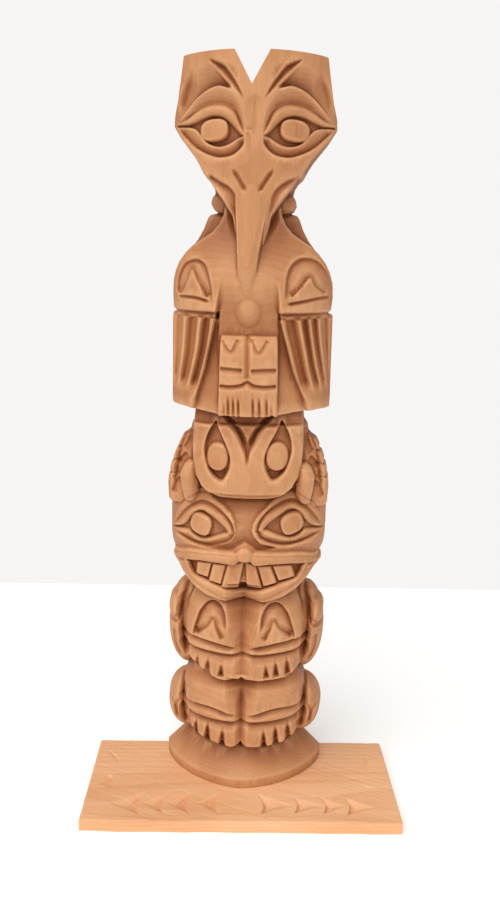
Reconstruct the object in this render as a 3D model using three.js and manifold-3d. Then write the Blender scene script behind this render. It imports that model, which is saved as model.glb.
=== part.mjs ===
// A carved cedar totem pole standing on a chip-carved board.
//
// Millimetres, +Z up. The origin is the middle of the board's underside, and
// the pole's front looks along -Y. The pole is one piece of wood: half a log,
// flat at the back, carved into a long-beaked bird over a crouching animal, a
// wide-mouthed face, a pair of knees with paws, and a last pair of paws.
//
// The pole is worked out in its own frame: x across, y = 0 on its flat back,
// the front towards -y, and heights measured from the underside of the board.

import * as THREE from 'three';
import { mergeVertices } from 'three/addons/utils/BufferGeometryUtils.js';
import Module from 'manifold-3d';

const wasm = await Module();
wasm.setup();

// ------------------------------------------------------------ driving sizes

const BOARD = { width: 180, depth: 90, thickness: 7 };
const SEAT_GAP = 0.3;
const POLE_TOP = 417;
const POLE_X = 2;
const POLE_BACK_Y = 36;
const POLE_TURN = THREE.MathUtils.degToRad(-3.5);

const LOG_RADIUS = 46.3;
const CORE_RADIUS = 31;
const COLUMNS = 20;

const PLINTH_FOOT = BOARD.thickness + SEAT_GAP;
const LOW_PAWS_FOOT = 31;
const KNEE_PAWS_FOOT = 73;
const CHIN = 121;
const SNOUT_FOOT = 181;
const WINGS_FOOT = 229;
const BAND_FOOT = 284;
const JAW_FOOT = 336;

const CEDAR = { color: 0xb98252, roughness: 0.7, metalness: 0 };
const PALE_CEDAR = { color: 0xdba475, roughness: 0.68, metalness: 0 };

// ------------------------------------------------------------------ helpers

const toSolid = (geometry) => {
  const bare = geometry.clone();
  bare.deleteAttribute('normal');
  bare.deleteAttribute('uv');
  const merged = mergeVertices(bare, 1e-4);
  const mesh = new wasm.Mesh({
    numProp: 3,
    vertProperties: new Float32Array(merged.attributes.position.array),
    triVerts: new Uint32Array(merged.index.array),
  });
  return new wasm.Manifold(mesh);
};

const toGeometry = (solid) => {
  const { vertProperties, triVerts } = solid.getMesh();
  const geometry = new THREE.BufferGeometry();
  geometry.setAttribute('position', new THREE.BufferAttribute(new Float32Array(vertProperties), 3));
  geometry.setIndex(new THREE.BufferAttribute(new Uint32Array(triVerts), 1));
  geometry.computeVertexNormals();
  return geometry;
};

const meshOf = (points, faces) => {
  const geometry = new THREE.BufferGeometry();
  geometry.setAttribute('position', new THREE.Float32BufferAttribute(points.flat(), 3));
  geometry.setIndex(faces.flat());
  return toSolid(geometry);
};

// Rings of the same number of points, joined and capped. The points of a ring
// run counter-clockwise as seen from the last ring's side.
const skin = (rings) => {
  const count = rings[0].length;
  const points = rings.flat();
  const faces = [];
  for (let level = 0; level + 1 < rings.length; level += 1) {
    for (let k = 0; k < count; k += 1) {
      const a = level * count + k;
      const b = level * count + ((k + 1) % count);
      faces.push([a, b, b + count], [a, b + count, a + count]);
    }
  }
  const last = (rings.length - 1) * count;
  for (let k = 1; k + 1 < count; k += 1) {
    faces.push([0, k + 1, k], [last, last + k, last + k + 1]);
  }
  return meshOf(points, faces);
};

// One level of half log: round in front, sawn off at the half width, flat at
// the back. A power over 2 makes it squarer, under 2 more pointed.
const halfRound = ({ z, half, front, side = LOG_RADIUS, power = 2 }, columns) => {
  const ring = [];
  for (let k = 0; k <= columns; k += 1) {
    const angle = -Math.PI / 2 + (Math.PI * k) / columns;
    const across = side * Math.abs(Math.sin(angle)) ** (2 / power);
    const ahead = front * Math.max(Math.cos(angle), 0) ** (2 / power);
    ring.push([Math.sign(angle) * Math.min(across, half), -ahead, z]);
  }
  return ring;
};

const billet = (levels, columns = COLUMNS) => skin(levels.map((level) => halfRound(level, columns)));
const level = (z, half, front, more = {}) => ({ z, half, front, ...more });

// Where a point of the front stands on a log of this radius.
const onLog = (x, radius) => -Math.sqrt(Math.max(radius * radius - x * x, 0));

// A V-shaped cut of the knife along a path of [x, z] points on the log, fading
// out at both ends unless it runs through.
const knifeCut = (path, width, deep, { radius = LOG_RADIUS - 1, through = false } = {}) => {
  const lift = 3;
  const rings = path.map(([x, z], k) => {
    const before = path[Math.max(k - 1, 0)];
    const after = path[Math.min(k + 1, path.length - 1)];
    const at = new THREE.Vector3(x, onLog(x, radius), z);
    const out = new THREE.Vector3(at.x, at.y, 0).normalize();
    const along = new THREE.Vector3(
      after[0] - before[0],
      onLog(after[0], radius) - onLog(before[0], radius),
      after[1] - before[1],
    ).normalize();
    const across = new THREE.Vector3().crossVectors(out, along).normalize();
    const end = k === 0 || k === path.length - 1;
    const fade = end && !through ? 0.25 : 1;
    const depth = deep * fade;
    const spread = (width * fade * (1 + lift / depth)) / 2;
    const bottom = at.clone().addScaledVector(out, -depth);
    const left = at.clone().addScaledVector(out, lift).addScaledVector(across, spread);
    const right = at.clone().addScaledVector(out, lift).addScaledVector(across, -spread);
    return [bottom.toArray(), left.toArray(), right.toArray()];
  });
  return skin(rings);
};

const mirrored = (path) => path.map(([x, z]) => [-x, z]);

// An egg of wood, with its middle on the log's surface.
const egg = (x, z, radii, { radius = LOG_RADIUS, sink = 0, parts = [10, 6] } = {}) => {
  const y = onLog(x, radius);
  const ball = new THREE.SphereGeometry(1, ...parts);
  ball.scale(...radii);
  ball.rotateZ(Math.atan2(x, -y));
  const out = new THREE.Vector2(x, y).normalize();
  ball.translate(x - out.x * sink, y - out.y * sink, z);
  return toSolid(ball);
};

const slab = (x0, x1, y0, y1, z0, z1) => {
  const box = new THREE.BoxGeometry(x1 - x0, y1 - y0, z1 - z0);
  box.translate((x0 + x1) / 2, (y0 + y1) / 2, (z0 + z1) / 2);
  return toSolid(box);
};

// A flat outline of [x, z] points, sawn from front to back.
const sawn = (outline, y0, y1) => {
  const shape = new THREE.Shape(outline.map(([x, z]) => new THREE.Vector2(x, z)));
  const block = new THREE.ExtrudeGeometry(shape, { depth: y1 - y0, bevelEnabled: false });
  block.rotateX(Math.PI / 2);
  block.translate(0, y1, 0);
  return toSolid(block);
};

const add = (...solids) => solids.flat().reduce((whole, solid) => whole.add(solid));
const cut = (body, ...tools) => tools.flat().reduce((whole, tool) => whole.subtract(tool), body);
const both = (make) => [make(-1), make(1)];

// The body itself, without the loose chips that crossing cuts can leave.
const withoutChips = (solid) => solid.decompose().reduce(
  (largest, piece) => (piece.volume() > largest.volume() ? piece : largest),
);

// ------------------------------------------------------------------- plinth

const makePlinth = () => {
  const pointed = { side: 48, power: 1.7 };
  return billet([
    level(PLINTH_FOOT, 48, 46.5, pointed),
    level(12.5, 48, 47, pointed),
    level(15, 45.8, 44.6, { side: 46, power: 1.7 }),
    level(29, 32, 31.5, { side: 34, power: 1.9 }),
    level(LOW_PAWS_FOOT + 4, 31, 30),
  ]);
};

const makeCore = () => billet([
  level(26, CORE_RADIUS, CORE_RADIUS),
  level(CHIN, CORE_RADIUS - 1, CORE_RADIUS - 2),
  level(WINGS_FOOT + 6, CORE_RADIUS - 1, CORE_RADIUS),
], 16);

// -------------------------------------------------- paws, knees, side lobes

// The gaps between the claws of a pair of paws: three short cuts to each side
// and a wide one in the middle.
const clawGaps = (foot, top) => {
  const gaps = both((hand) => [12.8, 20.4, 27.6].map((x) => knifeCut(
    [[hand * x, foot - 3], [hand * x, top]], 3, 4.5, { through: true },
  ))).flat();
  return [...gaps, knifeCut([[0, foot - 4], [0, foot + 6]], 7, 7)];
};

const lobe = (hand, z, tall) => {
  const ball = new THREE.SphereGeometry(1, 10, 8);
  ball.scale(12.6, 19, tall);
  ball.translate(hand * 34.4, -7, z);
  return toSolid(ball).subtract(slab(-60, 60, 0, 40, 0, 200));
};

const makeLowPaws = () => {
  const body = billet([
    level(LOW_PAWS_FOOT, 31, 40),
    level(33, 32, 42.5),
    level(44, 33.5, 43),
    level(46, 34, 40.5),
    level(48, 35, 43.5),
    level(53, 36.5, 45.4),
    level(60, 36.5, 45.2),
    level(66, 35, 42.5),
    level(70.5, 33, 37),
    level(KNEE_PAWS_FOOT + 2, 31.5, 31),
  ]);
  const slits = both((hand) => knifeCut(
    [[hand * 4.5, 52.3], [hand * 16, 54.5], [hand * 29.5, 54.6]], 3.4, 3.6,
  ));
  const lobes = both((hand) => lobe(hand, 45.5, 16.6));
  const leaves = both((hand) => knifeCut([[hand * 36, 47], [hand * 38.5, 33]], 4, 3));
  return cut(add(body, lobes), clawGaps(LOW_PAWS_FOOT, 44), slits, leaves);
};

const makeKnees = () => {
  const body = billet([
    level(KNEE_PAWS_FOOT - 1, 31, 40),
    level(KNEE_PAWS_FOOT + 1, 32, 42.5),
    level(86, 33.5, 43),
    level(88, 34, 41),
    level(90, 35, 43.8),
    level(94, 36, 43.8),
    level(96, 36, 44.6),
    level(107, 35, 44.6),
    level(115, 32.5, 42.5),
    level(120, 29.5, 38),
    level(CHIN + 3, 27, 31),
  ]);
  const arch = [[-29.5, 97], [-27, 106], [-22.5, 115], [-17, 117.6], [-11.5, 112.5], [-10, 102]];
  const wedge = [[-26, 99.5], [-18, 108], [-12.5, 98.8]];
  const carving = both((hand) => {
    const side = (path) => (hand < 0 ? path : mirrored(path));
    return [
      knifeCut(side(arch), 3.2, 2.6, { radius: 43.5 }),
      knifeCut(side(wedge), 3, 2, { radius: 43.5 }),
      knifeCut([[hand * 4.5, 92.6], [hand * 15, 94], [hand * 31, 94.5]], 3.2, 3.4),
    ];
  }).flat();
  const valley = knifeCut([[0.5, 92], [0.5, 100], [0.5, CHIN + 4]], 11, 8, { through: true });
  const lobes = both((hand) => lobe(hand, 95.5, 26));
  const palms = both((hand) => knifeCut([[hand * 39, 113], [hand * 42, 99], [hand * 39.5, 84]], 4, 3));
  return cut(add(cut(body, valley), lobes), clawGaps(KNEE_PAWS_FOOT, 86), carving, palms);
};

// --------------------------------------------------------- wide-mouthed face

const makeFace = () => {
  const body = billet([
    level(CHIN - 0.5, 12, 40),
    level(CHIN + 2, 20, 44),
    level(126, 28, 45.3),
    level(131, 34, 45.6),
    level(137, 39, 45.8),
    level(140.5, 43.8, 46),
    level(142.5, 40.5, 46),
    level(145, 42.5, 46),
    level(149.5, 45.4, 45.6),
    level(151, 45.8, 43.6),
    level(160, LOG_RADIUS, 43.6),
    level(171, LOG_RADIUS, 41),
    level(177, 44, 37),
    level(183, 38, 31.5),
  ]);
  const ring = [
    [-43, 157], [-34, 171.5], [-25, 176], [-13, 172], [-7, 163.5], [-10, 155.6], [-24, 152.8], [-34, 154],
  ];
  const eyes = both((hand) => {
    const side = (path) => (hand < 0 ? path : mirrored(path));
    return [
      knifeCut(side(ring), 3, 2.4, { radius: 44 }),
      knifeCut(side([[-42, 158.5], [-30, 163.5], [-22, 165], [-12, 162.5]]), 9, 4, { radius: 44.5 }),
    ];
  }).flat();
  const balls = both((hand) => egg(hand * 26, 164.8, [6.4, 5, 7], { radius: 43.6, sink: 3.2 }));
  const toothGaps = [-18.2, -10.8, -1, 9, 18].map((x) => knifeCut(
    [[x * 1.04, 143], [x * 0.92, 131]], 1.8, 1.8, { through: true },
  ));
  const mouthTop = knifeCut([[-37, 139.5], [-22, 142.6], [-6, 142.4], [6, 142.8], [24, 143.6], [37, 140.5]], 2.4, 2);
  const mouthFoot = knifeCut([[-28, 134.5], [-16, 130.5], [-5, 127.6], [6, 128], [18, 132], [30, 134.5]], 3, 3);
  const nose = egg(0, 149, [4.2, 3, 5.2], { radius: 44.6 });
  return add(cut(body, eyes, toothGaps, mouthTop, mouthFoot), balls, nose);
};

// --------------------------------------------------------- crouching animal

const makeAnimal = () => {
  const head = billet([
    level(SNOUT_FOOT, 12, 42),
    level(183, 19, 45),
    level(187, 25, 45.8),
    level(193, 28.6, 45.6),
    level(201, 30.6, 45),
    level(211, 31.2, 42.6),
    level(220, 31, 38.5),
    level(WINGS_FOOT + 1, 30.5, 34),
  ]);
  const flanges = billet([
    level(173.6, 44, 22, { power: 3 }),
    level(177, LOG_RADIUS, 25, { power: 3 }),
    level(185, LOG_RADIUS, 26, { power: 3 }),
    level(192.5, 45.3, 24, { power: 3 }),
    level(201, 42.6, 22, { power: 3 }),
    level(208, 39.4, 20, { power: 3 }),
    level(213, 36.6, 18, { power: 3 }),
    level(218, 31, 16, { power: 3 }),
  ], 12);
  const scallops = both((hand) => [192, 201.5, 209].map((z, k) => {
    const edge = 46.5 - 3.2 * k;
    return sawn([[hand * (edge - 4), z], [hand * (edge + 3), z - 3.4], [hand * (edge + 3), z + 2]], -40, 1);
  })).flat();
  const sockets = both((hand) => [
    knifeCut([[hand * 18.5, 223], [hand * 16.5, 210], [hand * 13.5, 194]], 11, 4.6, { radius: 42.5 }),
    knifeCut([[hand * 13, 225], [hand * 6, 218.5], [hand * 0.8, 206]], 3.4, 3.4, { radius: 40.5 }),
  ]).flat();
  const balls = both((hand) => egg(hand * 16, 204.6, [5.8, 5, 8.4], { radius: 43, sink: 3 }));
  return add(cut(add(cut(flanges, scallops), head), sockets), balls);
};

// ------------------------------------------------------------- bird's body

const makeBirdBody = () => {
  const body = billet([
    level(WINGS_FOOT, 45.5, 45.5),
    level(240, LOG_RADIUS, LOG_RADIUS),
    level(BAND_FOOT - 2, LOG_RADIUS, LOG_RADIUS),
    level(BAND_FOOT - 1, 42.6, 42.6),
    level(BAND_FOOT + 1, 44.6, 44.6),
    level(292, 45.6, 45.6),
    level(300, 45.2, 45.2),
    level(306, 43.2, 43.5),
    level(311, 40.6, 41.5),
    level(316, 36.5, 39),
    level(321, 31.5, 36.5),
    level(329, 27, 33),
    level(336, 24.6, 31.5),
  ]);
  // The belly lies back between the wings, and the wings' inner edges spread.
  const hollow = sawn([
    [-16.5, 293], [-20.4, 283], [-21, 272], [-24.8, 254], [-30.4, 237],
    [30.4, 237], [24.8, 254], [20, 272], [17, 283], [15.5, 293],
  ], -60, -38.5);
  const belly = egg(-1, 284, [13.5, 5.5, 13], { radius: 37 });
  const flutes = both((hand) => [
    [[24, 281], [25.5, 262], [31, 240]],
    [[31.5, 281.5], [34, 260], [39, 242]],
    [[38, 282], [40.5, 262], [43.8, 246]],
  ].map((path) => knifeCut(path.map(([x, z]) => [hand * x, z]), 4.4, 6))).flat();
  const shoulders = both((hand) => {
    const at = (path) => path.map(([x, z]) => [hand * x, z]);
    return [
      knifeCut(at([[20.5, 291], [20.6, 302], [24.5, 310.5], [31.5, 312.6], [38, 308], [42.5, 299]]), 2.6, 2),
      knifeCut(at([[23, 293], [31.6, 306], [38.5, 294]]), 2.2, 1.8),
      knifeCut(at([[21, 289.8], [31, 291.4], [42.5, 292.4]]), 2.6, 2.4),
    ];
  }).flat();
  const feet = billet([
    level(WINGS_FOOT - 1, 16.4, 43.5),
    level(WINGS_FOOT + 1, 16.4, 45.4),
    level(243.8, 16.2, 45),
    level(245, 16, 42),
    level(246.4, 16, 44.6),
    level(252.4, 15.8, 44.6),
    level(254, 15.6, 41),
    level(255.5, 15.6, 44.4),
    level(266, 15.4, 43.6),
    level(272, 14, 40),
  ], 14);
  const toes = [-10.3, -5, 0, 5, 10.5].map((x) => knifeCut([[x, WINGS_FOOT - 2], [x, 241]], 1.8, 1.8, { through: true }));
  return add(cut(body, hollow, flutes, shoulders), belly, cut(feet, toes));
};

// ------------------------------------------------------------- bird's head

const makeNeck = () => {
  const tufts = both((hand) => {
    const ball = new THREE.SphereGeometry(1, 8, 6);
    ball.scale(4.6, 12, 6.4);
    ball.translate(hand * 19.6, -12, 343);
    return toSolid(ball).subtract(slab(-60, 60, 0, 40, 300, 400));
  });
  return add(billet([
    level(320, 31.5, 35),
    level(329, 27, 31),
    level(336, 24, 29),
    level(338, 20, 30),
    level(356, 20.5, 36),
  ], 16), tufts);
};

const makeHead = () => {
  const skull = billet([
    level(JAW_FOOT - 1, 9, 43.5),
    level(342, 14, 45.5),
    level(349, 19.5, 46.2),
    level(355, 23.6, LOG_RADIUS),
    level(362, 28.4, LOG_RADIUS),
    level(366, 31, 45.8),
    level(376, 39.6, 44.6),
    level(383.5, 44.4, 43.6),
    level(388, 44.2, 43.6),
    level(396, 41.8, 43.8),
    level(406, 40, 44.2),
    level(POLE_TOP, 38.4, 44.8),
  ]);
  const notch = sawn([[-0.8, 400.2], [9.2, POLE_TOP + 2], [-9.2, POLE_TOP + 2]], -60, 5);
  const carving = both((hand) => {
    const at = (path) => path.map(([x, z]) => [hand * x, z]);
    return [
      knifeCut(at([[41, 383.6], [30, 390], [19, 391.8], [9.5, 386.5], [5, 375]]), 3, 2.4, { radius: 44 }),
      knifeCut(at([[42, 383], [31, 371], [20, 365.2], [11, 365.6], [5, 373]]), 3.2, 2.6, { radius: 43.5 }),
      knifeCut(at([[40, 385.5], [31, 396], [20, 401.6], [10, 396.5], [6, 389]]), 3.4, 3, { radius: 43.6 }),
      knifeCut(at([[40.5, 383], [29, 381], [20.5, 378.5], [7, 376]]), 11, 4.6, { radius: 43.8 }),
      knifeCut(at([[23.5, 413], [15, 406.5], [6.5, 395]]), 5.5, 3.4, { radius: 44.2 }),
      knifeCut(at([[23.5, 355], [15, 350.6], [10.4, 345.6], [8.6, 337]]), 2.6, 2.4),
    ];
  }).flat();
  const balls = both((hand) => egg(hand * 20.8, 378, [8, 5, 6.3], { radius: 43.4, sink: 3 }));
  return add(cut(skull, notch, carving), balls);
};

const makeBeak = () => {
  const beakLevel = (z, from, to, front) => {
    const middle = (from + to) / 2;
    const half = (to - from) / 2;
    return halfRound({ z, half, front, side: half, power: 3 }, 8).map(([x, y, height]) => [x + middle, y, height]);
  };
  return skin([
    beakLevel(293.2, -4, 0.6, 41.5),
    beakLevel(297, -5.4, 2, 44.4),
    beakLevel(306, -6.8, 3.4, 46.6),
    beakLevel(318, -7.6, 5.6, 47.4),
    beakLevel(330, -8.2, 8, 47.4),
    beakLevel(342, -10.4, 11, 47),
    beakLevel(356, -13, 14, LOG_RADIUS - 0.4),
  ]);
};

// --------------------------------------------------------------- base board

// An arrowhead of two curved chips: its tip, the two barbs behind it and the
// hollow between them. The knife goes in upright along the back edge and lies
// low towards the tip.
const arrowhead = (tipX, tipY, length, spread, hand, turn = 0) => {
  const deep = 2.2;
  const lift = 1;
  const at = (x, y, z) => {
    const along = hand * x;
    const across = y;
    return [
      tipX + along * Math.cos(turn) - across * Math.sin(turn),
      tipY + along * Math.sin(turn) + across * Math.cos(turn),
      z,
    ];
  };
  const steps = 3;
  const chip = (side) => {
    const rings = [];
    for (let k = 0; k <= steps; k += 1) {
      const t = k / steps;
      const back = length * (0.78 + 0.22 * t * t + 0.1 * t);
      const reach = Math.max(length * (1 - t) ** 1.35, 0.35);
      const y = side * spread * t;
      const sink = deep * Math.max(1 - t, 0.12);
      const ring = [
        at(back - reach, y, BOARD.thickness + 0.02),
        at(back - 0.12 * reach, y, BOARD.thickness - sink),
        at(back, y, BOARD.thickness + 0.02),
        at(back, y, BOARD.thickness + lift),
        at(back - reach, y, BOARD.thickness + lift),
      ];
      rings.push(side * hand < 0 ? ring : ring.reverse());
    }
    return skin(rings);
  };
  return [chip(1), chip(-1)];
};

const makeBoard = () => {
  const edge = 0.8;
  const half = [BOARD.width / 2, BOARD.depth / 2];
  const outline = new THREE.Shape();
  outline.moveTo(-half[0] + edge, -half[1] + edge);
  outline.lineTo(half[0] - edge, -half[1] + edge);
  outline.lineTo(half[0] - edge, half[1] - edge);
  outline.lineTo(-half[0] + edge, half[1] - edge);
  const block = new THREE.ExtrudeGeometry(outline, {
    depth: BOARD.thickness - 2 * edge, bevelThickness: edge, bevelSize: edge, bevelSegments: 1,
  });
  block.translate(0, 0, edge);
  const front = [0, 1, 2, 3].flatMap((k) => [
    ...arrowhead(-75 + 16.3 * k, -27, 15.5, 12.4, 1),
    ...arrowhead(76 - 15.3 * k, -28, 15.5, 10.5, -1),
  ]);
  const ends = [36, 4].flatMap((y) => [
    ...arrowhead(-80, y, 15, 8, 1, -Math.PI / 2),
    ...arrowhead(80, y, 15, 8, 1, -Math.PI / 2),
  ]);
  return cut(toSolid(block), front, ends);
};

// ----------------------------------------------------------------- assembly

const named = (name, solid, finish) => {
  const mesh = new THREE.Mesh(toGeometry(solid), new THREE.MeshStandardMaterial(finish));
  mesh.name = name;
  return mesh;
};

const carving = withoutChips(add(
  makePlinth(), makeCore(), makeLowPaws(), makeKnees(), makeFace(),
  makeAnimal(), makeBirdBody(), makeNeck(), makeHead(), makeBeak(),
));

const pole = new THREE.Group();
pole.add(named('totem_pole', carving, CEDAR));
pole.position.set(POLE_X, POLE_BACK_Y, 0);
pole.rotation.z = POLE_TURN;

const totem = new THREE.Group();
totem.add(named('base_board', makeBoard(), PALE_CEDAR));
totem.add(pole);

export default totem;
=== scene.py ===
# %% [markdown]
# # A carved cedar totem pole on a board
# The real thing is half of a cedar log, flat at the back, carved with five
# figures one above the other and fixed upright on a thin chip-carved board.
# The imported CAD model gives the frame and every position. Each cell below
# makes one part of the visible object, in metres, in that same frame.

# %% Load the frame
import math

import bmesh
import bpy
import numpy as np
from mathutils import Matrix, Vector
from mathutils.kdtree import KDTree


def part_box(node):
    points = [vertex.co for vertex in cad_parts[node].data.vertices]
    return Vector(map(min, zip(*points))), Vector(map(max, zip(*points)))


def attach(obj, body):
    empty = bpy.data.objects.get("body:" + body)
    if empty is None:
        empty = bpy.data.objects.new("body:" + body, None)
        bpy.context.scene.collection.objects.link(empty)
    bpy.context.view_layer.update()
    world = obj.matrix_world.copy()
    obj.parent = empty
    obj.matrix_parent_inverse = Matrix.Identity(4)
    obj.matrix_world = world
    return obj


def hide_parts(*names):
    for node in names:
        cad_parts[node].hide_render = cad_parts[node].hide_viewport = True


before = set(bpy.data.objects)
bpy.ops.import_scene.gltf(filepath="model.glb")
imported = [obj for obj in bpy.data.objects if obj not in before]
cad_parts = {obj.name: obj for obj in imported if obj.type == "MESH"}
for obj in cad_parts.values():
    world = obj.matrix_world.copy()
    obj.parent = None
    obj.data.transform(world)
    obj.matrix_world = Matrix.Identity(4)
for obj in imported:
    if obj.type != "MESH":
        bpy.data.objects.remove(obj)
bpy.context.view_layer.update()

MM = 0.001
pole_low, pole_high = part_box("totem_pole")
board_low, board_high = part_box("base_board")
POLE_FOOT = pole_low.z / MM
POLE_TOP = pole_high.z / MM
print("pole from", round(POLE_FOOT, 2), "to", round(POLE_TOP, 2), "mm high")


def volume(piece):
    """Volume of a closed mesh in cubic metres. It is negative if the faces point inwards."""
    shell = bmesh.new()
    shell.from_mesh(piece.data)
    size = shell.calc_volume(signed=True)
    shell.free()
    return size


def deselect():
    """Nothing stays selected, so that the next operator acts on its own piece only."""
    if bpy.context.object and bpy.context.object.mode != "OBJECT":
        bpy.ops.object.mode_set(mode="OBJECT")
    bpy.ops.object.select_all(action="DESELECT")


# %% [markdown]
# The camera stands in front of the pole, a little above its middle, and looks
# slightly down. Its place and its three turns are set once as a matrix, which
# is easier to read than three angles in an order that has to be remembered.

# %% Camera
CAMERA_PLACE = Vector((-7.3, -511.9, 310.7)) * MM
YAW, PITCH, ROLL = math.radians(-0.97), math.radians(11.25), math.radians(1.17)
ahead = Vector((-math.sin(YAW) * math.cos(PITCH), math.cos(YAW) * math.cos(PITCH), -math.sin(PITCH)))
level_right = Vector((math.cos(YAW), math.sin(YAW), 0))
level_up = level_right.cross(ahead)
right = math.cos(ROLL) * level_right + math.sin(ROLL) * level_up
up = -math.sin(ROLL) * level_right + math.cos(ROLL) * level_up

lens = bpy.data.cameras.new("front_camera")
lens.lens = 37.48
lens.sensor_width = 36
camera = bpy.data.objects.new("front_camera", lens)
bpy.context.scene.collection.objects.link(camera)
camera.matrix_world = Matrix.Translation(CAMERA_PLACE) @ Matrix((right, up, -ahead)).transposed().to_4x4()
bpy.context.scene.camera = camera
print("camera looks along", tuple(round(v, 3) for v in ahead))

# %% [markdown]
# Soft light shows carving best: a wide sun from high on the left and in front
# draws the edges, a weak softbox on the right opens the shadows, and a pale
# world fills in the rest. The camera sees that world brighter than it lights.
# The floor is a plain pale sheet that glows a little, so that it stays white.

# %% Studio
scene = bpy.context.scene
scene.view_settings.view_transform = "Standard"
world = bpy.data.worlds.new("studio")
scene.world = world
world.use_nodes = True
sky = world.node_tree.nodes["Background"]
sky.inputs["Color"].default_value = (0.93, 0.915, 0.905, 1)
seen = world.node_tree.nodes.new("ShaderNodeLightPath")
brightness = world.node_tree.nodes.new("ShaderNodeMapRange")
brightness.inputs["To Min"].default_value = 0.5
brightness.inputs["To Max"].default_value = 1.0
world.node_tree.links.new(seen.outputs["Is Camera Ray"], brightness.inputs["Value"])
world.node_tree.links.new(brightness.outputs["Result"], sky.inputs["Strength"])


def softbox(name, place, aim, size, power, colour):
    lamp = bpy.data.lights.new(name, "AREA")
    lamp.shape = "DISK"
    lamp.size = size
    lamp.energy = power
    lamp.color = colour
    holder = bpy.data.objects.new(name, lamp)
    scene.collection.objects.link(holder)
    holder.location = place
    holder.rotation_euler = (Vector(aim) - Vector(place)).to_track_quat("-Z", "Y").to_euler()


MIDDLE = (0, 0, 0.2)
FLOOR_BACK = 0.36
daylight = bpy.data.lights.new("wide_daylight", "SUN")
daylight.energy = 2.3
daylight.angle = math.radians(62)
daylight.color = (1.0, 0.985, 0.96)
window_light = bpy.data.objects.new("wide_daylight", daylight)
scene.collection.objects.link(window_light)
window_light.rotation_euler = Vector((0.42, 0.72, -1.0)).to_track_quat("-Z", "Y").to_euler()
softbox("fill_softbox", (0.9, -0.9, 0.7), MIDDLE, 0.9, 2.0, (1.0, 0.97, 0.94))

deselect()
bpy.ops.mesh.primitive_plane_add(size=6, location=(0, FLOOR_BACK - 3, 0))
bpy.ops.object.transform_apply(location=True, rotation=False, scale=False)
floor = bpy.context.object
floor.name = "studio_floor"
floor_paint = bpy.data.materials.new("pale_floor")
floor_paint.use_nodes = True
floor_surface = floor_paint.node_tree.nodes["Principled BSDF"]
floor_surface.inputs["Base Color"].default_value = (0.93, 0.925, 0.92, 1)
floor_surface.inputs["Roughness"].default_value = 0.8
floor_surface.inputs["Emission Color"].default_value = (1, 1, 1, 1)
floor_surface.inputs["Emission Strength"].default_value = 0.16
floor.data.materials.append(floor_paint)
print("studio ready")

# %% [markdown]
# ## The pole
# The pole is one half log, and its carving is a relief: seen from the front,
# every spot has one depth. So the carving is first drawn as a sheet of depths,
# like a map of hills, and a closed solid is wrapped on it afterwards. Sculpting
# by hand would do the same, but here the strokes are written down.
#
# In the pole's own frame, x runs across, depth runs forward from the flat
# back, and heights are above the underside of the board. All in millimetres.

# %% The sheet of depths
LOG_SIDE = 46.3
SQUARE = 0.38
ROWS = int((POLE_TOP - POLE_FOOT) / SQUARE)
SHEET_HALF = 50.0
SHEET_COLUMNS = 400

level = np.linspace(POLE_FOOT, POLE_TOP, ROWS + 1)[:, None]
across = np.linspace(-SHEET_HALF, SHEET_HALF, SHEET_COLUMNS + 1)[None, :]
across, height = np.broadcast_arrays(across, level)
across, height = across.copy(), height.copy()
OUTSIDE = -60.0
relief = np.full(height.shape, OUTSIDE)
print("sheet of", relief.size, "spots")


# %% [markdown]
# A carver first saws the outline of each figure from front to back, and the
# log keeps its round face. So a figure's billet is given by a few levels, each
# with the half width of the sawn outline and the depth of the round front.
# Past a sawn side or under a shelf the depth falls away steeply but not at
# once, which keeps the edges of the finished mesh even.

# %% Helpers for billets
SIDE_FALL, SHELF_FALL = 45.0, 14.0


def ease(t):
    t = np.clip(t, 0, 1)
    return t * t * (3 - 2 * t)


def billet(levels, corner=1.5, power=2.0, side=LOG_SIDE, foot=None, head=None, middle=0.0):
    """Depth of a sawn billet with a round front. Each level: height, half width, front depth."""
    table = np.array(levels, float)
    half = np.interp(level, table[:, 0], table[:, 1])
    depth = np.interp(level, table[:, 0], table[:, 2])
    off = np.abs(across - middle)
    width = half if side is None else side
    share = np.clip(np.minimum(off, half) / width, 0, 1)
    face = depth * (1 - share ** power) ** (1 / power)
    bend = np.clip(1 - (half - off) / corner, 0, 1)
    face = face - corner * (1 - np.sqrt(1 - bend ** 2))
    low = table[0, 0] if foot is None else np.interp(across, *np.array(foot, float).T)
    high = table[-1, 0] if head is None else np.interp(across, *np.array(head, float).T)
    face = face - SIDE_FALL * np.maximum(off - half, 0)
    return face - SHELF_FALL * (np.maximum(low - height, 0) + np.maximum(height - high, 0))


def egg(x, depth, z, rx, rd, rz):
    """Depth of an egg-shaped lump."""
    rest = 1 - ((across - x) / rx) ** 2 - ((height - z) / rz) ** 2
    return np.where(rest > 0, depth + rd * np.sqrt(np.maximum(rest, 0)),
                    depth + SIDE_FALL * np.maximum(rest, -3))


def rib(levels, crown=2.2):
    """A narrow rib with a rounded front. Each level: height, left side, right side, front depth."""
    table = np.array(levels, float)
    left, right_side, depth = (np.interp(level, table[:, 0], table[:, i]) for i in (1, 2, 3))
    middle, half = (left + right_side) / 2, (right_side - left) / 2
    off = np.abs(across - middle)
    face = depth - crown * (np.minimum(off, half) / half) ** 2.2 - SIDE_FALL * np.maximum(off - half, 0)
    return face - SHELF_FALL * (np.maximum(table[0, 0] - height, 0) + np.maximum(height - table[-1, 0], 0))


def add(*lumps):
    """Wood is left standing wherever any of these lumps reaches."""
    for lump in lumps:
        np.maximum(relief, lump, out=relief)


# %% [markdown]
# From the board up: a pointed foot, two pairs of paws with rounded side
# pieces, a wide grinning face, an animal's head between two scalloped fins,
# and a bird with folded wings, a thin neck and a long beak laid on its chest.

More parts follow.
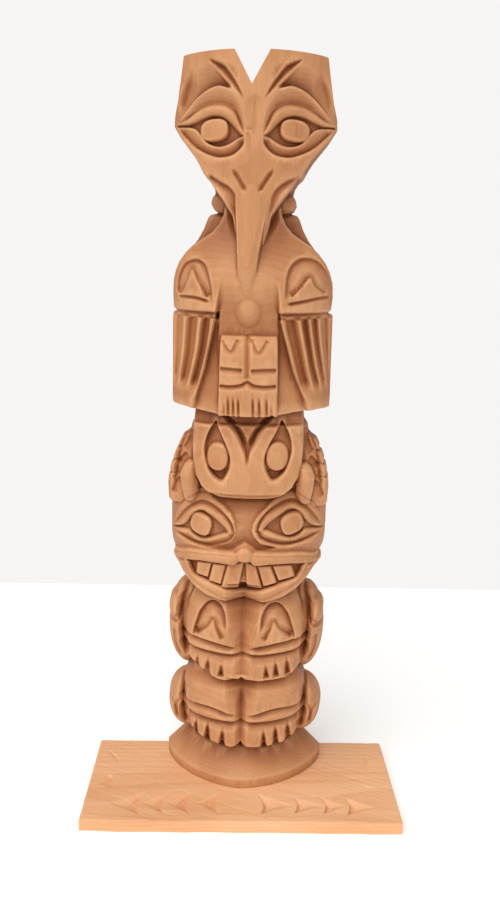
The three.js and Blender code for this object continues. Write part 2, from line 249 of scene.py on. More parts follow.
# %% Billets of the lower figures
add(billet([(7.3, 31, 31), (320, 31, 31)], corner=6, side=32, middle=0))
add(billet([(7.3, 48, 46.5), (12.6, 48.2, 47), (14, 46.8, 45.6), (29, 32, 31.5), (35, 31, 30)],
           power=1.7, side=None))

LOW_CLAW_FOOT = [(-38, 41), (-31, 37.5), (-26, 35), (-20, 33.6), (-13, 31.6), (-6, 30.8), (-2, 32),
                 (-0.5, 33.4), (1, 32), (6, 31), (14, 31), (20, 32), (26, 32.4), (30, 34), (38, 41)]
add(billet([(29, 33, 43), (36, 33.8, 43.4), (43, 34.5, 43), (46, 35, 41), (48, 35.5, 44.4),
            (53, 37, 46), (60, 37, 45.6), (66, 35.5, 42.6), (71, 33, 36), (75, 31.5, 31)],
           corner=9, foot=LOW_CLAW_FOOT))

HIGH_CLAW_FOOT = [(-38, 84), (-31, 80.6), (-26, 78.6), (-20.6, 75.2), (-14, 72.6), (-7, 72), (-2.4, 73.6),
                  (-0.5, 75.4), (1.2, 74), (6, 72.4), (16, 73), (25, 73.2), (29, 75), (38, 82)]
add(billet([(70, 33, 43), (78, 33.8, 43.4), (86, 34.5, 43), (88, 35, 41), (90, 35.5, 44),
            (94, 36.5, 44.4), (96, 36.5, 45.4), (107, 35.5, 45), (115, 33, 42.5), (121, 30, 38),
            (127, 27, 31)], corner=8, foot=HIGH_CLAW_FOOT))

for hand in (-1, 1):
    add(egg(hand * 34.4, 2, 45.5, 12.8, 26, 17.2), egg(hand * 34.4, 2, 95.5, 12.9, 26, 27))
    add(egg(hand * 40.6, 6, 107, 6.2, 19, 8.5))

add(billet([(120.4, 12, 41), (121.6, 16, 43.6), (124, 23, 45.4), (128, 30, 46.2), (133, 36, 46.2),
            (138, 40, 46), (140.4, 44.5, 46), (142.2, 41, 46), (144.6, 42.6, 46), (148, 45.2, 46),
            (152, 46, 45.2), (160, 46.6, 44.6), (171, 46.6, 42), (177, 44.6, 38), (184, 39, 31.5)],
           corner=1.2))

# %% Billets of the upper figures
add(billet([(173.4, 44, 24), (175, 46.2, 25), (184, 46.8, 25), (189.4, 46.4, 25), (190.6, 44.6, 24),
            (192, 45.8, 24), (196.6, 44.8, 24), (197.8, 42.8, 23), (199.2, 44, 23), (203.6, 42.4, 22),
            (205.2, 40, 22), (206.8, 41, 22), (211, 39, 20), (213.2, 35.8, 20), (215.2, 34.2, 19),
            (219, 33.5, 19), (222.6, 31, 18)], corner=4, power=5, side=52))
add(billet([(180.8, 14, 42), (181.6, 17.4, 43.6), (183.5, 21, 45.2), (187, 25.6, 46), (193, 29, 46),
            (201, 30.8, 45.4), (211, 31.4, 43.4), (220, 31.2, 40), (231, 30.4, 36)], corner=2.4))

WING_FOOT = [(-47, 230.8), (-35, 231), (-27, 229.8), (-16, 228.4), (16, 228.4), (26, 230), (39, 230.6),
             (47, 229.4)]
add(billet([(225, 46, 45.5), (234, 46.3, 46), (282.4, 46.3, 46), (283.4, 42.8, 45), (285.2, 44.8, 45.6),
            (292, 45.8, 45.8), (300, 45.4, 45.2), (306, 43.4, 43.4), (311, 40.8, 41.4), (316, 36.8, 39),
            (320, 32.4, 37), (323, 27.6, 35.4), (327, 21.6, 33.8), (331, 18.2, 32.4), (336, 15.8, 31),
            (344, 14.6, 30), (356, 14.6, 33)], corner=2.4, foot=WING_FOOT))
add(billet([(312, 38, 14), (319, 34.2, 16), (323, 31, 17), (329, 27.6, 17), (335, 25.4, 16),
            (336.8, 24.2, 14)],
           corner=3, power=5, side=44))
add(billet([(336, 19, 10), (345, 20.6, 14), (352, 22.4, 16), (360, 24, 20)], corner=3, power=5, side=34))
add(billet([(337.6, 19.6, 20), (339.4, 22, 24), (342.4, 23.4, 26), (345.4, 22.8, 25), (347.6, 21.2, 22),
            (349, 21.6, 20),
            (356, 23, 18)], corner=3, power=3, side=30))

add(billet([(320, 6.5, 39), (328, 8.8, 42.4), (335, 10.2, 44.2), (342, 14.6, 45.6), (349, 20, 46),
            (354.6, 23.8, 46),
            (356.5, 26, 46), (362, 29, 46), (366, 31.6, 46), (376, 39.8, 45.6), (383.5, 44.8, 45.4), (388,
                44.4, 45.4),
            (396, 42, 45.6), (406, 40.2, 45.8), (417, 38.4, 46)], corner=1.6))
print("roughed out, front between", round(float(relief[:, SHEET_COLUMNS // 2].min()), 1), "and",
      round(float(relief.max()), 1), "mm deep")


# %% [markdown]
# Detail is cut with four strokes that work on the front view. A groove is a
# knife line with a chosen slope on each side. A strip is the surface between
# two lines, with its cross-section given. A sink lowers everything inside an
# outline to one floor. A knob leaves an oval standing, as for an eyeball.

# %% Helpers for strokes
EDGE = 1.0
cut = np.zeros(relief.shape)


def curve(points, step=0.9):
    """A smooth line through a few points."""
    p = np.array(points, float)
    if len(p) < 3:
        return p
    ends = np.vstack([2 * p[0] - p[1], p, 2 * p[-1] - p[-2]])
    line = []
    for a, b, c, d in zip(ends, ends[1:], ends[2:], ends[3:]):
        count = max(2, int(np.hypot(*(c - b)) / step))
        t = np.linspace(0, 1, count, endpoint=False)[:, None]
        line.append(0.5 * (2 * b + (c - a) * t + (2 * a - 5 * b + 4 * c - d) * t ** 2
                           + (3 * b - a - 3 * c + d) * t ** 3))
    line.append(p[-1:])
    return np.vstack(line)


def window(line, reach):
    """The part of the sheet round a line."""
    low, high = line.min(0) - reach, line.max(0) + reach
    rows = np.searchsorted(level[:, 0], (low[1], high[1]))
    cols = np.searchsorted(across[0], (low[0], high[0]))
    return slice(rows[0], rows[1] + 1), slice(cols[0], cols[1] + 1)


def follow(line, spot):
    """For each spot: its offset to the left of the line, its way along it, and the line's length."""
    x, z = across[spot], height[spot]
    best = np.full(x.shape, 1e9)
    off, way = np.zeros(x.shape), np.zeros(x.shape)
    gone = 0.0
    for (ax, az), (bx, bz) in zip(line, line[1:]):
        dx, dz = bx - ax, bz - az
        size = math.hypot(dx, dz) + 1e-9
        t = np.clip(((x - ax) * dx + (z - az) * dz) / size ** 2, 0, 1)
        ex, ez = x - ax - t * dx, z - az - t * dz
        far = ex * ex + ez * ez
        closer = far < best
        best[closer] = far[closer]
        off[closer] = np.where(dx * ez - dz * ex < 0, -1, 1)[closer] * np.sqrt(far[closer])
        way[closer] = gone + t[closer] * size
        gone += size
    return off, way, gone


def within_ring(ring, x, y):
    """Which places lie inside a closed outline."""
    within = np.zeros(x.shape, bool)
    for (ax, ay), (cx, cy) in zip(ring, np.roll(ring, -1, axis=0)):
        if ay != cy:
            within ^= ((ay > y) != (cy > y)) & (x < (cx - ax) * (y - ay) / (cy - ay) + ax)
    return within


def distance_to(line, x, y):
    """How far each place is from a line."""
    best = np.full(x.shape, 1e9)
    for (ax, ay), (cx, cy) in zip(line, line[1:]):
        dx, dy = cx - ax, cy - ay
        t = np.clip(((x - ax) * dx + (y - ay) * dy) / (dx * dx + dy * dy + 1e-9), 0, 1)
        best = np.minimum(best, np.hypot(x - ax - t * dx, y - ay - t * dy))
    return best


def covered(outline, spot, wall):
    """1 inside a closed outline, 0 outside, with an even edge between."""
    off = np.abs(follow(np.vstack([outline, outline[:1]]), spot)[0])
    return ease(0.5 + np.where(within_ring(outline, across[spot], height[spot]), off, -off) / wall)


def on_side(points, hand, shift=(0, 0)):
    """A path drawn for the right half, put on the hand that is asked for."""
    return [(hand * x + shift[0], z + hand * shift[1]) for x, z in points]


def groove(points, depth, left, right_width, lift=(3, 3), hand=1):
    """A knife line: its depth, the widths of its two slopes, and how it lifts out at its ends."""
    line = curve(points)
    spot = window(line, max(left, right_width) + 1)
    off, way, length = follow(line, spot)
    strength = ease(way / lift[0] + 0.06) * ease((length - way) / lift[1] + 0.06)
    width = np.where(off * hand > 0, left, right_width) * (0.45 + 0.55 * strength)
    cut[spot] += depth * strength * np.clip(1 - np.abs(off) / np.maximum(width, EDGE), 0, 1)


def strip(first, second, section, wall=EDGE, narrow=3.5, keep=False):
    """The surface between two lines, with its depth below the billet given across it."""
    a, b = curve(first), curve(second)
    outline = np.vstack([a, b[::-1]])
    spot = window(outline, 1.5)
    da, db = np.abs(follow(a, spot)[0]), np.abs(follow(b, spot)[0])
    steps = np.array(section, float)
    value = np.interp(da / (da + db + 1e-6), steps[:, 0], steps[:, 1]) * np.clip((da + db) / narrow, 0.1,
        1)
    if keep:
        value = np.maximum(value, cut[spot])
    cut[spot] += (value - cut[spot]) * covered(outline, spot, wall)


def sink(outline, floor_depth, wall=EDGE, smooth=True):
    """Lowers what is inside an outline to a floor, given as a number or a rule of x and height."""
    ring = np.array(outline, float)
    if smooth:
        ring = curve(np.vstack([ring, ring[:1]]))[:-1]
    spot = window(ring, wall + 0.5)
    value = floor_depth(across[spot], height[spot]) if callable(floor_depth) else floor_depth
    cut[spot] += (value - cut[spot]) * covered(ring, spot, wall)


def knob(x, z, rx, rz, top, wall=1.1, dome=0.5, power=2.5, lean=0.0):
    """Leaves an oval standing with its face at a chosen depth."""
    spot = window(np.array([(x - rx, z - rz), (x + rx, z + rz)]), 3)
    dx, dz = across[spot] - x, height[spot] - z
    dx, dz = dx * math.cos(lean) + dz * math.sin(lean), dz * math.cos(lean) - dx * math.sin(lean)
    q = (np.abs(dx / rx) ** power + np.abs(dz / rz) ** power) ** (1 / power)
    mask = ease(0.5 - (q - 1) * min(rx, rz) / wall)
    cut[spot] += (top + dome * np.clip(q, 0, 1.2) ** 3 - cut[spot]) * mask


def carve():
    """Takes the strokes drawn so far off the wood."""
    deepest = float(cut.max())
    relief[...] -= cut
    cut[...] = 0
    return round(deepest, 1)


print("strokes ready")

# %% [markdown]
# The bird's head: brow, two lids and a flat eyeball on each side, a leaf-shaped
# cut up to each corner of the forehead, nostrils, and the line of the mouth.
# Every line is drawn once for the right half and mirrored.

# %% The bird's head
HEAD_SHIFT = (0.6, 0.2)
BROW_CREST = [(43, 383.6), (38, 388), (31.5, 394.2), (25.5, 398), (19.5, 399.8), (14.5, 399),
              (10.6, 396), (7.6, 391.5), (5.4, 386), (4.2, 380), (4.4, 375.2)]
RING_TOP = [(42.6, 383.2), (37, 385.8), (32, 388.8), (26, 391.2), (20, 392), (14.5, 391), (9.9, 388),
            (7.4, 383.5), (5.8, 378.6), (5.2, 375)]
RING_FOOT = [(42.6, 382.4), (38.5, 377.3), (33.5, 372.3), (28.5, 368.6), (23, 366), (18, 364.7),
             (12.5, 365.3), (8.5, 367.4), (5.5, 371), (5.2, 375)]
EYE_TOP = [(42, 382.9), (36, 382.6), (31.5, 383.6), (26, 385.3), (21, 386), (16.3, 384.8), (12, 381.6),
           (8.6, 378), (5.8, 375.3)]
EYE_FOOT = [(42, 382.4), (35, 381.2), (30.5, 379), (26.4, 373.8), (22, 371), (17, 370.3),
            (12, 372), (8.5, 374.2), (5.8, 375.1)]
LEAF_IN = [(22.4, 413.2), (16, 410.8), (12, 406.4), (9, 401.4), (6.6, 396.4), (5, 392)]
LEAF_OUT = [(24.2, 412.8), (20, 408), (15.6, 403.2), (12.2, 399.8), (8.4, 396), (5, 392)]

for hand in (-1, 1):
    def mine(points):
        return on_side(points, hand, HEAD_SHIFT)

    groove(mine([(12, 397.6), (15, 400), (19.5, 401), (25.5, 399.2), (31.5, 395.4), (38, 389), (42, 385)]),
           7.6, 10.5, 1.2, (5, 20), hand)
    groove(mine([(32.5, 410), (35.5, 403), (38.6, 394), (40.5, 387)]), 4.4, 3.4, 6, (9, 9), hand)
    strip(mine(LEAF_IN), mine(LEAF_OUT), [(0, 0), (0.28, 5.6), (0.5, 4.4), (1, 0.4)], narrow=4.5)
    strip(mine(BROW_CREST), mine(RING_TOP), [(0, 0), (0.14, 0.3), (1, 5.8)], narrow=5)
    strip(mine(RING_TOP), mine(EYE_TOP), [(0, 6.4), (0.14, 3.4), (0.45, 1.6), (0.75, 2.4), (1, 4.6)],
          narrow=4)
    strip(mine(EYE_FOOT), mine(RING_FOOT), [(0, 3.2), (0.2, 2.9), (0.8, 5.2), (1, 6.4)], narrow=4)
    sink(mine(EYE_TOP + EYE_FOOT[::-1]), 7.6)
    knob(hand * 21.1 + 0.6, 378.7 + hand * 0.15, 7.7, 5.7, 2.2, 1.1, 0.8, 2.6, hand * -0.06)

groove([(0.8, 396), (0.6, 384), (0.4, 368)], 1.8, 5, 5, (5, 12))
groove([(-2.6, 377), (-1.4, 373), (-0.6, 364)], 0.9, 1, 1.8, (1, 6))
groove([(-3.6, 378.6), (0.2, 378.4)], 0.7, 1.4, 1, (1, 1))
for hand, path in ((-1, [(-23, 355.6), (-17.3, 352), (-12.1, 349), (-9.4, 345.6), (-8.6, 341),
                         (-8.2, 331), (-7.6, 320)]),
                   (1, [(26.6, 355.6), (20.4, 353.7), (14.8, 350.1), (11.8, 346.2), (10.4, 341),
                        (8.8, 331), (6.6, 320)])):
    groove(path, 4.4, 5.5, 1.1, (2, 16), hand)
print("head: deepest cut", carve(), "mm")

# %% [markdown]
# The beak is a rib added after the head is cut. It narrows down to a worn
# point on the chest, and its front has a rounded ridge.

# %% The beak
add(rib([(288.6, -3.6, 0.8, 42.5), (290, -4.4, 1.4, 44.6), (294, -5.2, 2, 46), (303, -6.4, 2.8, 47),
         (315, -7.2, 4.2, 47.7),
         (328, -7.7, 6.4, 47.9), (338, -8.2, 8.4, 47.6), (346, -8.6, 9.2, 47), (354, -8.2, 8.8,
             45.9), (362, -7, 7.4, 44.4)],
        crown=2.8))
for hand in (-1, 1):
    groove(on_side([(11.2, 359.4), (8.4, 355.2), (5.6, 350.8), (3.2, 346.6)], hand, (0.4, 0)),
           3.2, 1.7, 1.7, (5, 3), hand)
carve()
print("beak reaches", round(float(relief.max()), 1), "mm forward")

# %% [markdown]
# Shoulders and wings: an arch with a triangle in it on each shoulder, then
# long feathers as channels between rounded ribs, deepest under the band.

# %% Shoulders and wings
SHOULDERS = {
    -1: dict(arch=[(-41, 292), (-40.4, 301), (-38, 307.2), (-34.8, 310.4), (-29.7, 311.6), (-25.6, 309.4),
                   (-23.3, 304.4), (-21.5, 297.5), (-20.7, 288.6)],
             peak=[(-39.8, 292.6), (-35.8, 300), (-32.4, 307), (-28.1, 300.4), (-22.8, 291.6)],
             slit=[(-41.4, 292), (-30.2, 291.7), (-21.4, 289.6)]),
    1: dict(arch=[(44.4, 296), (43.4, 302), (40.2, 307.4), (35.2, 312), (29.9, 313.4), (25.4, 312.4),
                  (21.6, 308.5), (19.9, 302), (19.4, 291)],
            peak=[(41, 294.8), (35.4, 299), (32, 304), (27, 298.4), (22, 293)],
            slit=[(44, 293.2), (37.2, 292.5), (28.6, 290.8), (19.6, 289.2)]),
}
for hand, shoulder in SHOULDERS.items():
    groove(shoulder["arch"], 3.4, 5.5, 1.1, (5, 5), hand)
    groove(shoulder["peak"], 2.9, 1.1, 3.2, (1.5, 1.5), hand)
    groove(shoulder["slit"], 3.6, 1.9, 1.1, (3, 3), hand)

FEATHERS = {
    -1: [[(-20, 284), (-20.9, 273.6), (-22.5, 263.7), (-24.8, 253.7), (-27.6, 243.4), (-30.6, 235)],
         [(-26.6, 284), (-27.9, 274), (-28.9, 264.5), (-31.3, 253), (-34.4, 242), (-37, 234)],
         [(-36.2, 284), (-36.9, 273.5), (-37.6, 263), (-38.8, 254), (-40.8, 243), (-43, 235)],
         [(-44.9, 284), (-45, 268), (-45.2, 250), (-45.4, 240)]],
    1: [[(16.6, 284), (18.7, 274.6), (21.6, 264.8), (25.2, 251.6), (29, 240), (32.4, 233)],
        [(26.2, 284), (28.1, 274), (30.2, 264.5), (33, 251), (36.6, 240), (39.4, 233)],
        [(32, 284), (34, 271), (36.6, 257), (39.8, 245), (42.6, 235)],
        [(37.4, 284), (38.8, 270.5), (41, 257), (43.4, 244), (44.8, 237)],
        [(44.7, 284), (45, 268), (45.4, 250), (45.6, 242)]],
}
for hand, ribs in FEATHERS.items():
    bundle = np.vstack([curve(ribs[0]), curve(ribs[-1])[::-1]])
    spot = window(bundle, 2)
    cut[spot] += 1.2 * ease((height[spot] - 250) / 30) * covered(bundle, spot, 1.2)
    for first, second in zip(ribs, ribs[1:]):
        a, b = curve(first), curve(second)
        outline = np.vstack([a, b[::-1]])
        spot = window(outline, 1.5)
        da, db = np.abs(follow(a, spot)[0]), np.abs(follow(b, spot)[0])
        bowl = np.interp(da / (da + db + 1e-6), (0, 0.1, 0.26, 0.6, 0.9, 1), (0, 0.3, 5.2, 7.0, 1.2, 0))
        depth_here = bowl * ease((height[spot] - 239) / 9) * np.clip((da + db) / 5.5, 0.35, 1)
        cut[spot] += depth_here * covered(outline, spot, 1)
    shelf = [(hand * 16, 284.2), (hand * 46, 284.6), (hand * 46, 281.4), (hand * 16, 280.6)]
    sink(shelf, 5.6, 1.6, smooth=False)
print("wings: deepest cut", carve(), "mm")

# %% [markdown]
# Between the wings the body is hollowed, with a small round swell of the
# breast standing in the hollow. Below it are the feet, a square block with its
# toes slit into the lower edge.

# %% Breast and feet
BODY_HOLLOW = [(-15, 304), (-16.6, 294), (-18.2, 284), (-20, 274), (-24, 254), (-29.6, 236), (-30.6, 230),
               (-30.6, 222),
               (32, 222), (33, 230), (31.6, 235), (24.4, 252), (18, 275), (16, 284), (15.4, 294), (14,
                   304)]
sink(BODY_HOLLOW, lambda x, z: np.interp(z, (232, 240, 262, 276, 284, 290, 298, 303),
    (3.6, 5.4, 8.8, 9.2, 7.0, 4.2, 1.0, 0)),
     1.4, smooth=False)
carve()
add(billet([(228, 17, 38.4), (270, 16.8, 38.2), (278, 16.4, 38.4), (284, 16, 39.4), (292, 15.4, 41.6)],
           corner=1.6, middle=-0.6))
add(egg(-0.6, 27.4, 287, 10.8, 15.6, 15.4))
add(billet([(228, 16.3, 45), (236, 16.2, 45.6), (262, 15.9, 45.4), (268, 15.7, 44), (271.8, 15.4, 40.6)],
           corner=1.4))
groove([(-0.6, 272.4), (-0.6, 262), (-0.4, 247.5)], 2.6, 2.2, 2.2, (0.5, 3))
for path in ([(-14.8, 269.4), (-9.8, 263.4), (-6, 270)], [(1.4, 270.4), (5.4, 263.2), (10.2, 269.8)]):
    groove(path, 1.8, 1, 2.4, (0.6, 0.6))
for path in ([(-15.6, 254.4), (-10, 254.2), (-3, 253.8)], [(1.4, 253.6), (8, 254), (15.4, 254.2)]):
    groove(path, 3.0, 1, 3.2, (0.5, 0.8))
groove([(-15.6, 244.9), (-9.9, 244.6), (-4, 245.6), (-0.4, 247.4), (3, 245.6), (9, 244.9), (15.4, 245.4)],
       3.4, 1, 2.6, (0.5, 0.5))
for x in (-10.6, -7.8, -5, 3, 6.4, 10.4):
    groove([(x - 0.2, 240), (x + 0.3, 226)], 2.6, 1.1, 1.1, (6, 0.4))
for x in (-13, 13):
    groove([(x, 236), (x + 0.2, 226)], 1.4, 1, 1, (5, 0.4))
print("feet: deepest cut", carve(), "mm")

# %% [markdown]
# The animal's head looks down. Long teardrop sockets hold upright eyeballs,
# and two curved grooves meet in a V on its muzzle. The scallops of the fins
# are cut here too, and a bar is left standing beside each cheek.

# %% The animal's head
ANIMAL_SHIFT = (0.4, 0.5)
SOCKET = [(18.4, 224), (15.2, 217.4), (11.6, 210.8), (9.6, 205), (9.8, 200), (11.6, 195.6), (14, 192.2),
          (17.4, 193.4),
          (20.8, 197), (23, 202), (24.2, 207.6), (23.6, 213.6), (21.4, 219.6)]
for hand in (-1, 1):
    groove(on_side([(14.4, 228), (10.6, 224), (5.6, 218.8), (2.6, 213.4), (0.5, 207.4), (0, 200)],
                   hand, ANIMAL_SHIFT),
           6.0, 2.6, 1.6, (1, 14), -hand)
    sink(on_side(SOCKET, hand, ANIMAL_SHIFT),
         lambda x, z: 4.6 + 1.4 * ease((z - 205) / 10) + 2.6 * ease((200 - z) / 4))
    knob(hand * 16.6 + 0.3, 204.9 + hand * 0.5, 6.2, 7.9, 0.6, 1.2, 1.6, 2.2, hand * 0.08)
cut += 3.4 * (ease((228 - height) / 4) * ease((height - 206) / 8)
              * ease((1 - np.abs(across - 0.4) / (0.6 * np.clip(height - 204, 0.1, 30))) * 2.5))
for hand in (-1, 1):
    for path in ([(33, 216), (35, 209), (38, 205)], [(35, 203), (39, 199), (41.5, 196)], [(36, 190),
        (41, 186), (44, 179)]):
        groove(on_side(path, hand), 2.6, 1.2, 4, (2, 2), hand)
    groove(on_side([(32.6, 221), (36, 214), (39, 207), (40.6, 200), (41.6, 192), (42.6, 184)], hand),
           4.0, 1.1, 6, (3, 6), hand)
carve()
BAR_IN, BAR_LEVELS = 28, [(176, 36, 30), (184, 37.6, 33.6), (192, 38.4, 35), (197, 36.4, 34),
                          (199.6, 34, 31)]
for hand in (-1, 1):
    add(rib([(z, *sorted((hand * BAR_IN, hand * out)), depth) for z, out, depth in BAR_LEVELS], crown=4.4))
print("animal cut")

# %% [markdown]
# The wide face: slanted eyes in two lids, a straight upper lip pinched under
# a short nose, a curved lower lip, and six square teeth in a sunk mouth.

# %% The wide face
FACE_SHIFT = (0.2, 1.1)
FACE_BROW = [(45.8, 158.4), (43.6, 166), (40, 173), (33.4, 179.8), (26, 183.2), (19.5, 181.6), (12.6, 177),
             (7, 171), (3.6, 165), (3.4, 160)]
FACE_RING_TOP = [(45, 157.4), (39, 166), (33, 172.8), (26.2, 176.8), (19, 175.8), (12, 172), (7.8, 167),
                 (6.3, 161.4)]
FACE_RING_FOOT = [(45.2, 157), (37, 154.4), (29.3, 152.8), (21.5, 152.6), (14, 154.6), (8.4, 157.6),
                  (6.3, 161.4)]
FACE_EYE_TOP = [(44, 157.9), (37.4, 161.2), (33.8, 164.8), (30.2, 170.2), (24.8, 172.4), (18, 169),
                (12.8, 165.2), (10.4, 162.5)]
FACE_EYE_FOOT = [(44, 157.5), (37.4, 159), (33.4, 159.8), (30.3, 157.8), (26, 156.6), (20.4, 157.9),
                 (13.5, 161), (10.4, 162.3)]
for hand in (-1, 1):
    def mine(points):
        return on_side(points, hand, FACE_SHIFT)

    strip(mine(FACE_BROW), mine(FACE_RING_TOP), [(0, 1.2), (0.25, 0.2), (0.7, 1.4), (1, 5.0)], narrow=5)
    strip(mine(FACE_RING_TOP), mine(FACE_EYE_TOP), [(0, 5.8), (0.14, 3.0), (0.45, 1.4), (0.8, 2.2),
        (1, 4.2)], narrow=4)
    strip(mine(FACE_EYE_FOOT), mine(FACE_RING_FOOT), [(0, 2.6), (0.3, 2.0), (0.8, 3.8), (1, 5.0)],
          narrow=4)
    sink(mine(FACE_EYE_TOP + FACE_EYE_FOOT[::-1]), 6.4)
    knob(hand * 26 + 0.2, 164.6 + hand * 1.0, 6.4, 6.0, 1.4, 1.1, 0.8, 2.8, hand * 0.3)
sink([(-23, 184), (-19, 179.4), (-12.6, 176), (-8.2, 172.4), (-6, 168), (-5.6, 163), (-6.6, 158.4),
      (-10, 155),
      (-20, 151.6), (0, 150), (17, 152.8), (8.4, 155.4), (5, 159), (3.6, 163), (4.2, 167), (7,
          171.6), (11.2, 175.4),
      (15.6, 180), (20, 184)], 3.0, 1.6, smooth=False)

LIP_TOP = [(46, 142), (38, 144.8), (31, 147.4), (17, 149), (7, 149.6), (3.6, 152), (0, 153.6)]
LIP_FOOT = [(46, 139.6), (38.6, 140), (26, 143), (15, 143.6), (6, 143.2), (3.3, 145.4), (0, 146.4)]
JAW_OUT = [(37, 142), (34.6, 137.6), (30.4, 131.6), (22.3, 127.2), (14.6, 123.8), (6.8, 121.2), (0, 120.4)]
JAW_IN = [(32.6, 140.4), (29.6, 134.2), (21.6, 132), (14.4, 129.8), (8.2, 127.8), (4, 126.8), (0, 126.4)]


def whole(path):
    """A path drawn from the right end to the middle, carried on to the left end."""
    return on_side(path, -1) + on_side(path, 1)[::-1][1:]


groove(whole([(47, 144.4), (38, 147), (31, 149.4), (17, 151), (8, 151.8), (4, 154.4), (0, 156.4)]),
       3.6, 1.1, 8, (1, 1), -1)
sink(whole(LIP_FOOT)[1:-1] + [(35.6, 140.4), (33.6, 139)] + whole(JAW_IN)[::-1][1:-1] + [(-33.6, 139),
    (-35.6, 140.4)],
     6.4, smooth=False)
TEETH = [[(-27.6, 141.8), (-18.8, 142.6), (-20.8, 133.4), (-28.2, 134.4)],
         [(-18, 142.4), (-10.4, 142.4), (-13.2, 130.6), (-20.4, 132)],
         [(-9.6, 142.8), (-0.3, 145), (-3.4, 127.6), (-13, 129.6)],
         [(0.5, 145), (6.4, 142.8), (10.2, 129.6), (1.6, 127.8)],
         [(7.2, 142.6), (14.6, 142.4), (18.6, 132.2), (11, 130.4)],
         [(15.6, 142.4), (26.4, 141.6), (29, 134.4), (19.4, 133)]]
TILTS = (0.10, 0.12, 0.10, -0.12, -0.10, -0.08)
for tooth, tilt in zip(TEETH, TILTS):
    middle_x = sum(x for x, z in tooth) / 4
    sink(tooth, lambda x, z: 2.0 + tilt * (x - middle_x) + 0.1 * (z - 130), 1.2, smooth=False)
strip(whole(LIP_TOP), whole(LIP_FOOT), [(0, 0.6), (0.2, -0.4), (0.6, -0.4), (1, 1.0)], narrow=3)
strip(whole(JAW_OUT), whole(JAW_IN), [(0, 0.8), (0.35, -0.1), (0.8, 0.2), (1, 1.0)], narrow=3)
knob(0, 149.4, 4.2, 4.4, -1.8, 3, 1.4, 2.0)
print("face: deepest cut", carve(), "mm")

# %% [markdown]
# The two pairs of paws are cut alike: arched knuckles, long narrow slits that
# read as closed eyes, and a fringe of claws with V-shaped gaps.

# %% Paws and claws
KNUCKLE = [(29.6, 95.6), (27.6, 104), (24.4, 113), (19.5, 118), (14.5, 117.4), (11.3, 112.5), (10.2, 103)]
for hand in (-1, 1):
    groove(on_side(KNUCKLE, hand), 4.4, 6, 1.1, (4, 5), hand)
    groove(on_side([(12.4, 97.6), (15, 103.4), (17.6, 108.6), (22, 103), (27.8, 97.4)], hand),
           3.2, 3.4, 1.1, (1.5, 1.5), hand)
    groove(on_side([(2.6, 92.2), (12.4, 94), (21, 95.3), (38, 95.6)], hand), 5.4, 1.0, 3.8, (8, 0.5), hand)
    groove(on_side([(1.5, 88.4), (11, 87), (20, 88), (38, 89.4)], hand), 4.0, 1, 5, (7, 0.5), hand)
    groove(on_side([(2.6, 50.8), (9.6, 52.6), (17, 54.4), (24, 54.6), (38, 53)], hand),
           5.6, 1.0, 4, (9, 3), hand)
    groove(on_side([(1.5, 46.6), (8, 45.2), (15, 45.7), (22, 46.8), (38, 47.6)], hand), 3.8, 1, 5, (7, 1),
           hand)
HIGH_GAPS = ((-27.4, 86, 2.2), (-20.8, 86, 2.4), (-12.6, 84, 2.4), (13.8, 84, 2.2), (19.4, 86, 2.2),
             (26, 87, 2.4))
LOW_GAPS = ((-28, 45, 2.2), (-20.6, 45, 2.4), (-11.4, 43, 2.4), (13.4, 43, 2.2), (20.4, 45, 2.2),
            (27.6, 46, 2.4))
for gaps, foot, depth, fade in ((HIGH_GAPS, 74, 6.0, 12), (LOW_GAPS, 25, 7.0, 13)):
    for x, top, wide in gaps:
        groove([(x * 0.97, top), (x, foot)], depth, wide, wide, (fade, 0.4))
groove([(0, 132), (-0.4, 112), (-0.4, 78)], 9.5, 10.5, 10.5, (1, 44))
groove([(-0.4, 104), (-0.4, 88), (-0.4, 76)], 2.6, 5, 5, (8, 1))
groove([(0, 74), (-0.4, 66), (-0.4, 40)], 8.0, 10, 10, (1, 30))
groove([(-0.4, 66), (-0.4, 46), (-0.4, 26)], 3.6, 3.4, 3.4, (8, 2))
for hand in (-1, 1):
    groove(on_side([(35.4, 124), (37.8, 110), (37, 96), (35, 78)], hand), 8.0, 2.4, 3.5, (4, 8), hand)
    groove(on_side([(47.5, 100), (43, 99.6), (39.5, 101), (38.6, 106)], hand), 3.4, 1.2, 4, (0.5, 3), hand)
    groove(on_side([(42.6, 96), (42, 86), (38, 76)], hand), 3.0, 1.2, 4, (3, 5), hand)
    groove(on_side([(36, 64), (36.6, 50), (34.6, 34)], hand), 7.0, 2.4, 3, (4, 6), hand)
    groove(on_side([(38.5, 51), (40.4, 45), (38, 36)], hand), 3.2, 2.4, 1, (2, 4), hand)
    groove(on_side([(44.6, 50), (41.4, 44), (40.4, 36)], hand), 2.4, 1, 2.4, (2, 4), hand)
print("paws: deepest cut", carve(), "mm")

# %% [markdown]
# The sheet only knows depths. To wrap a solid on it, rays start on the flat
# back at every height. In the middle they run straight forward, so every stroke
# keeps its place. Towards the sides they fan out, so that the steep sides get
# as many points as the front. Along each ray the wood ends at the last spot
# that lies behind the sheet.

# %% Rays through the log
COLUMNS = int(150 / SQUARE)
FAN_FROM, STRAIGHT_SHARE = 0.5, 0.82
share = np.linspace(-1, 1, COLUMNS + 1)
fan = np.clip((np.abs(share) - FAN_FROM) / (1 - FAN_FROM), 0, 1)
angle = np.sign(share) * math.pi / 2 * fan ** 1.25
sideways, forwards = np.sin(angle), np.maximum(np.cos(angle), 0)
straight = np.clip(np.abs(share) / FAN_FROM, 0, 1)
start_share = np.sign(share) * (straight * STRAIGHT_SHARE + fan * (1 - STRAIGHT_SHARE))

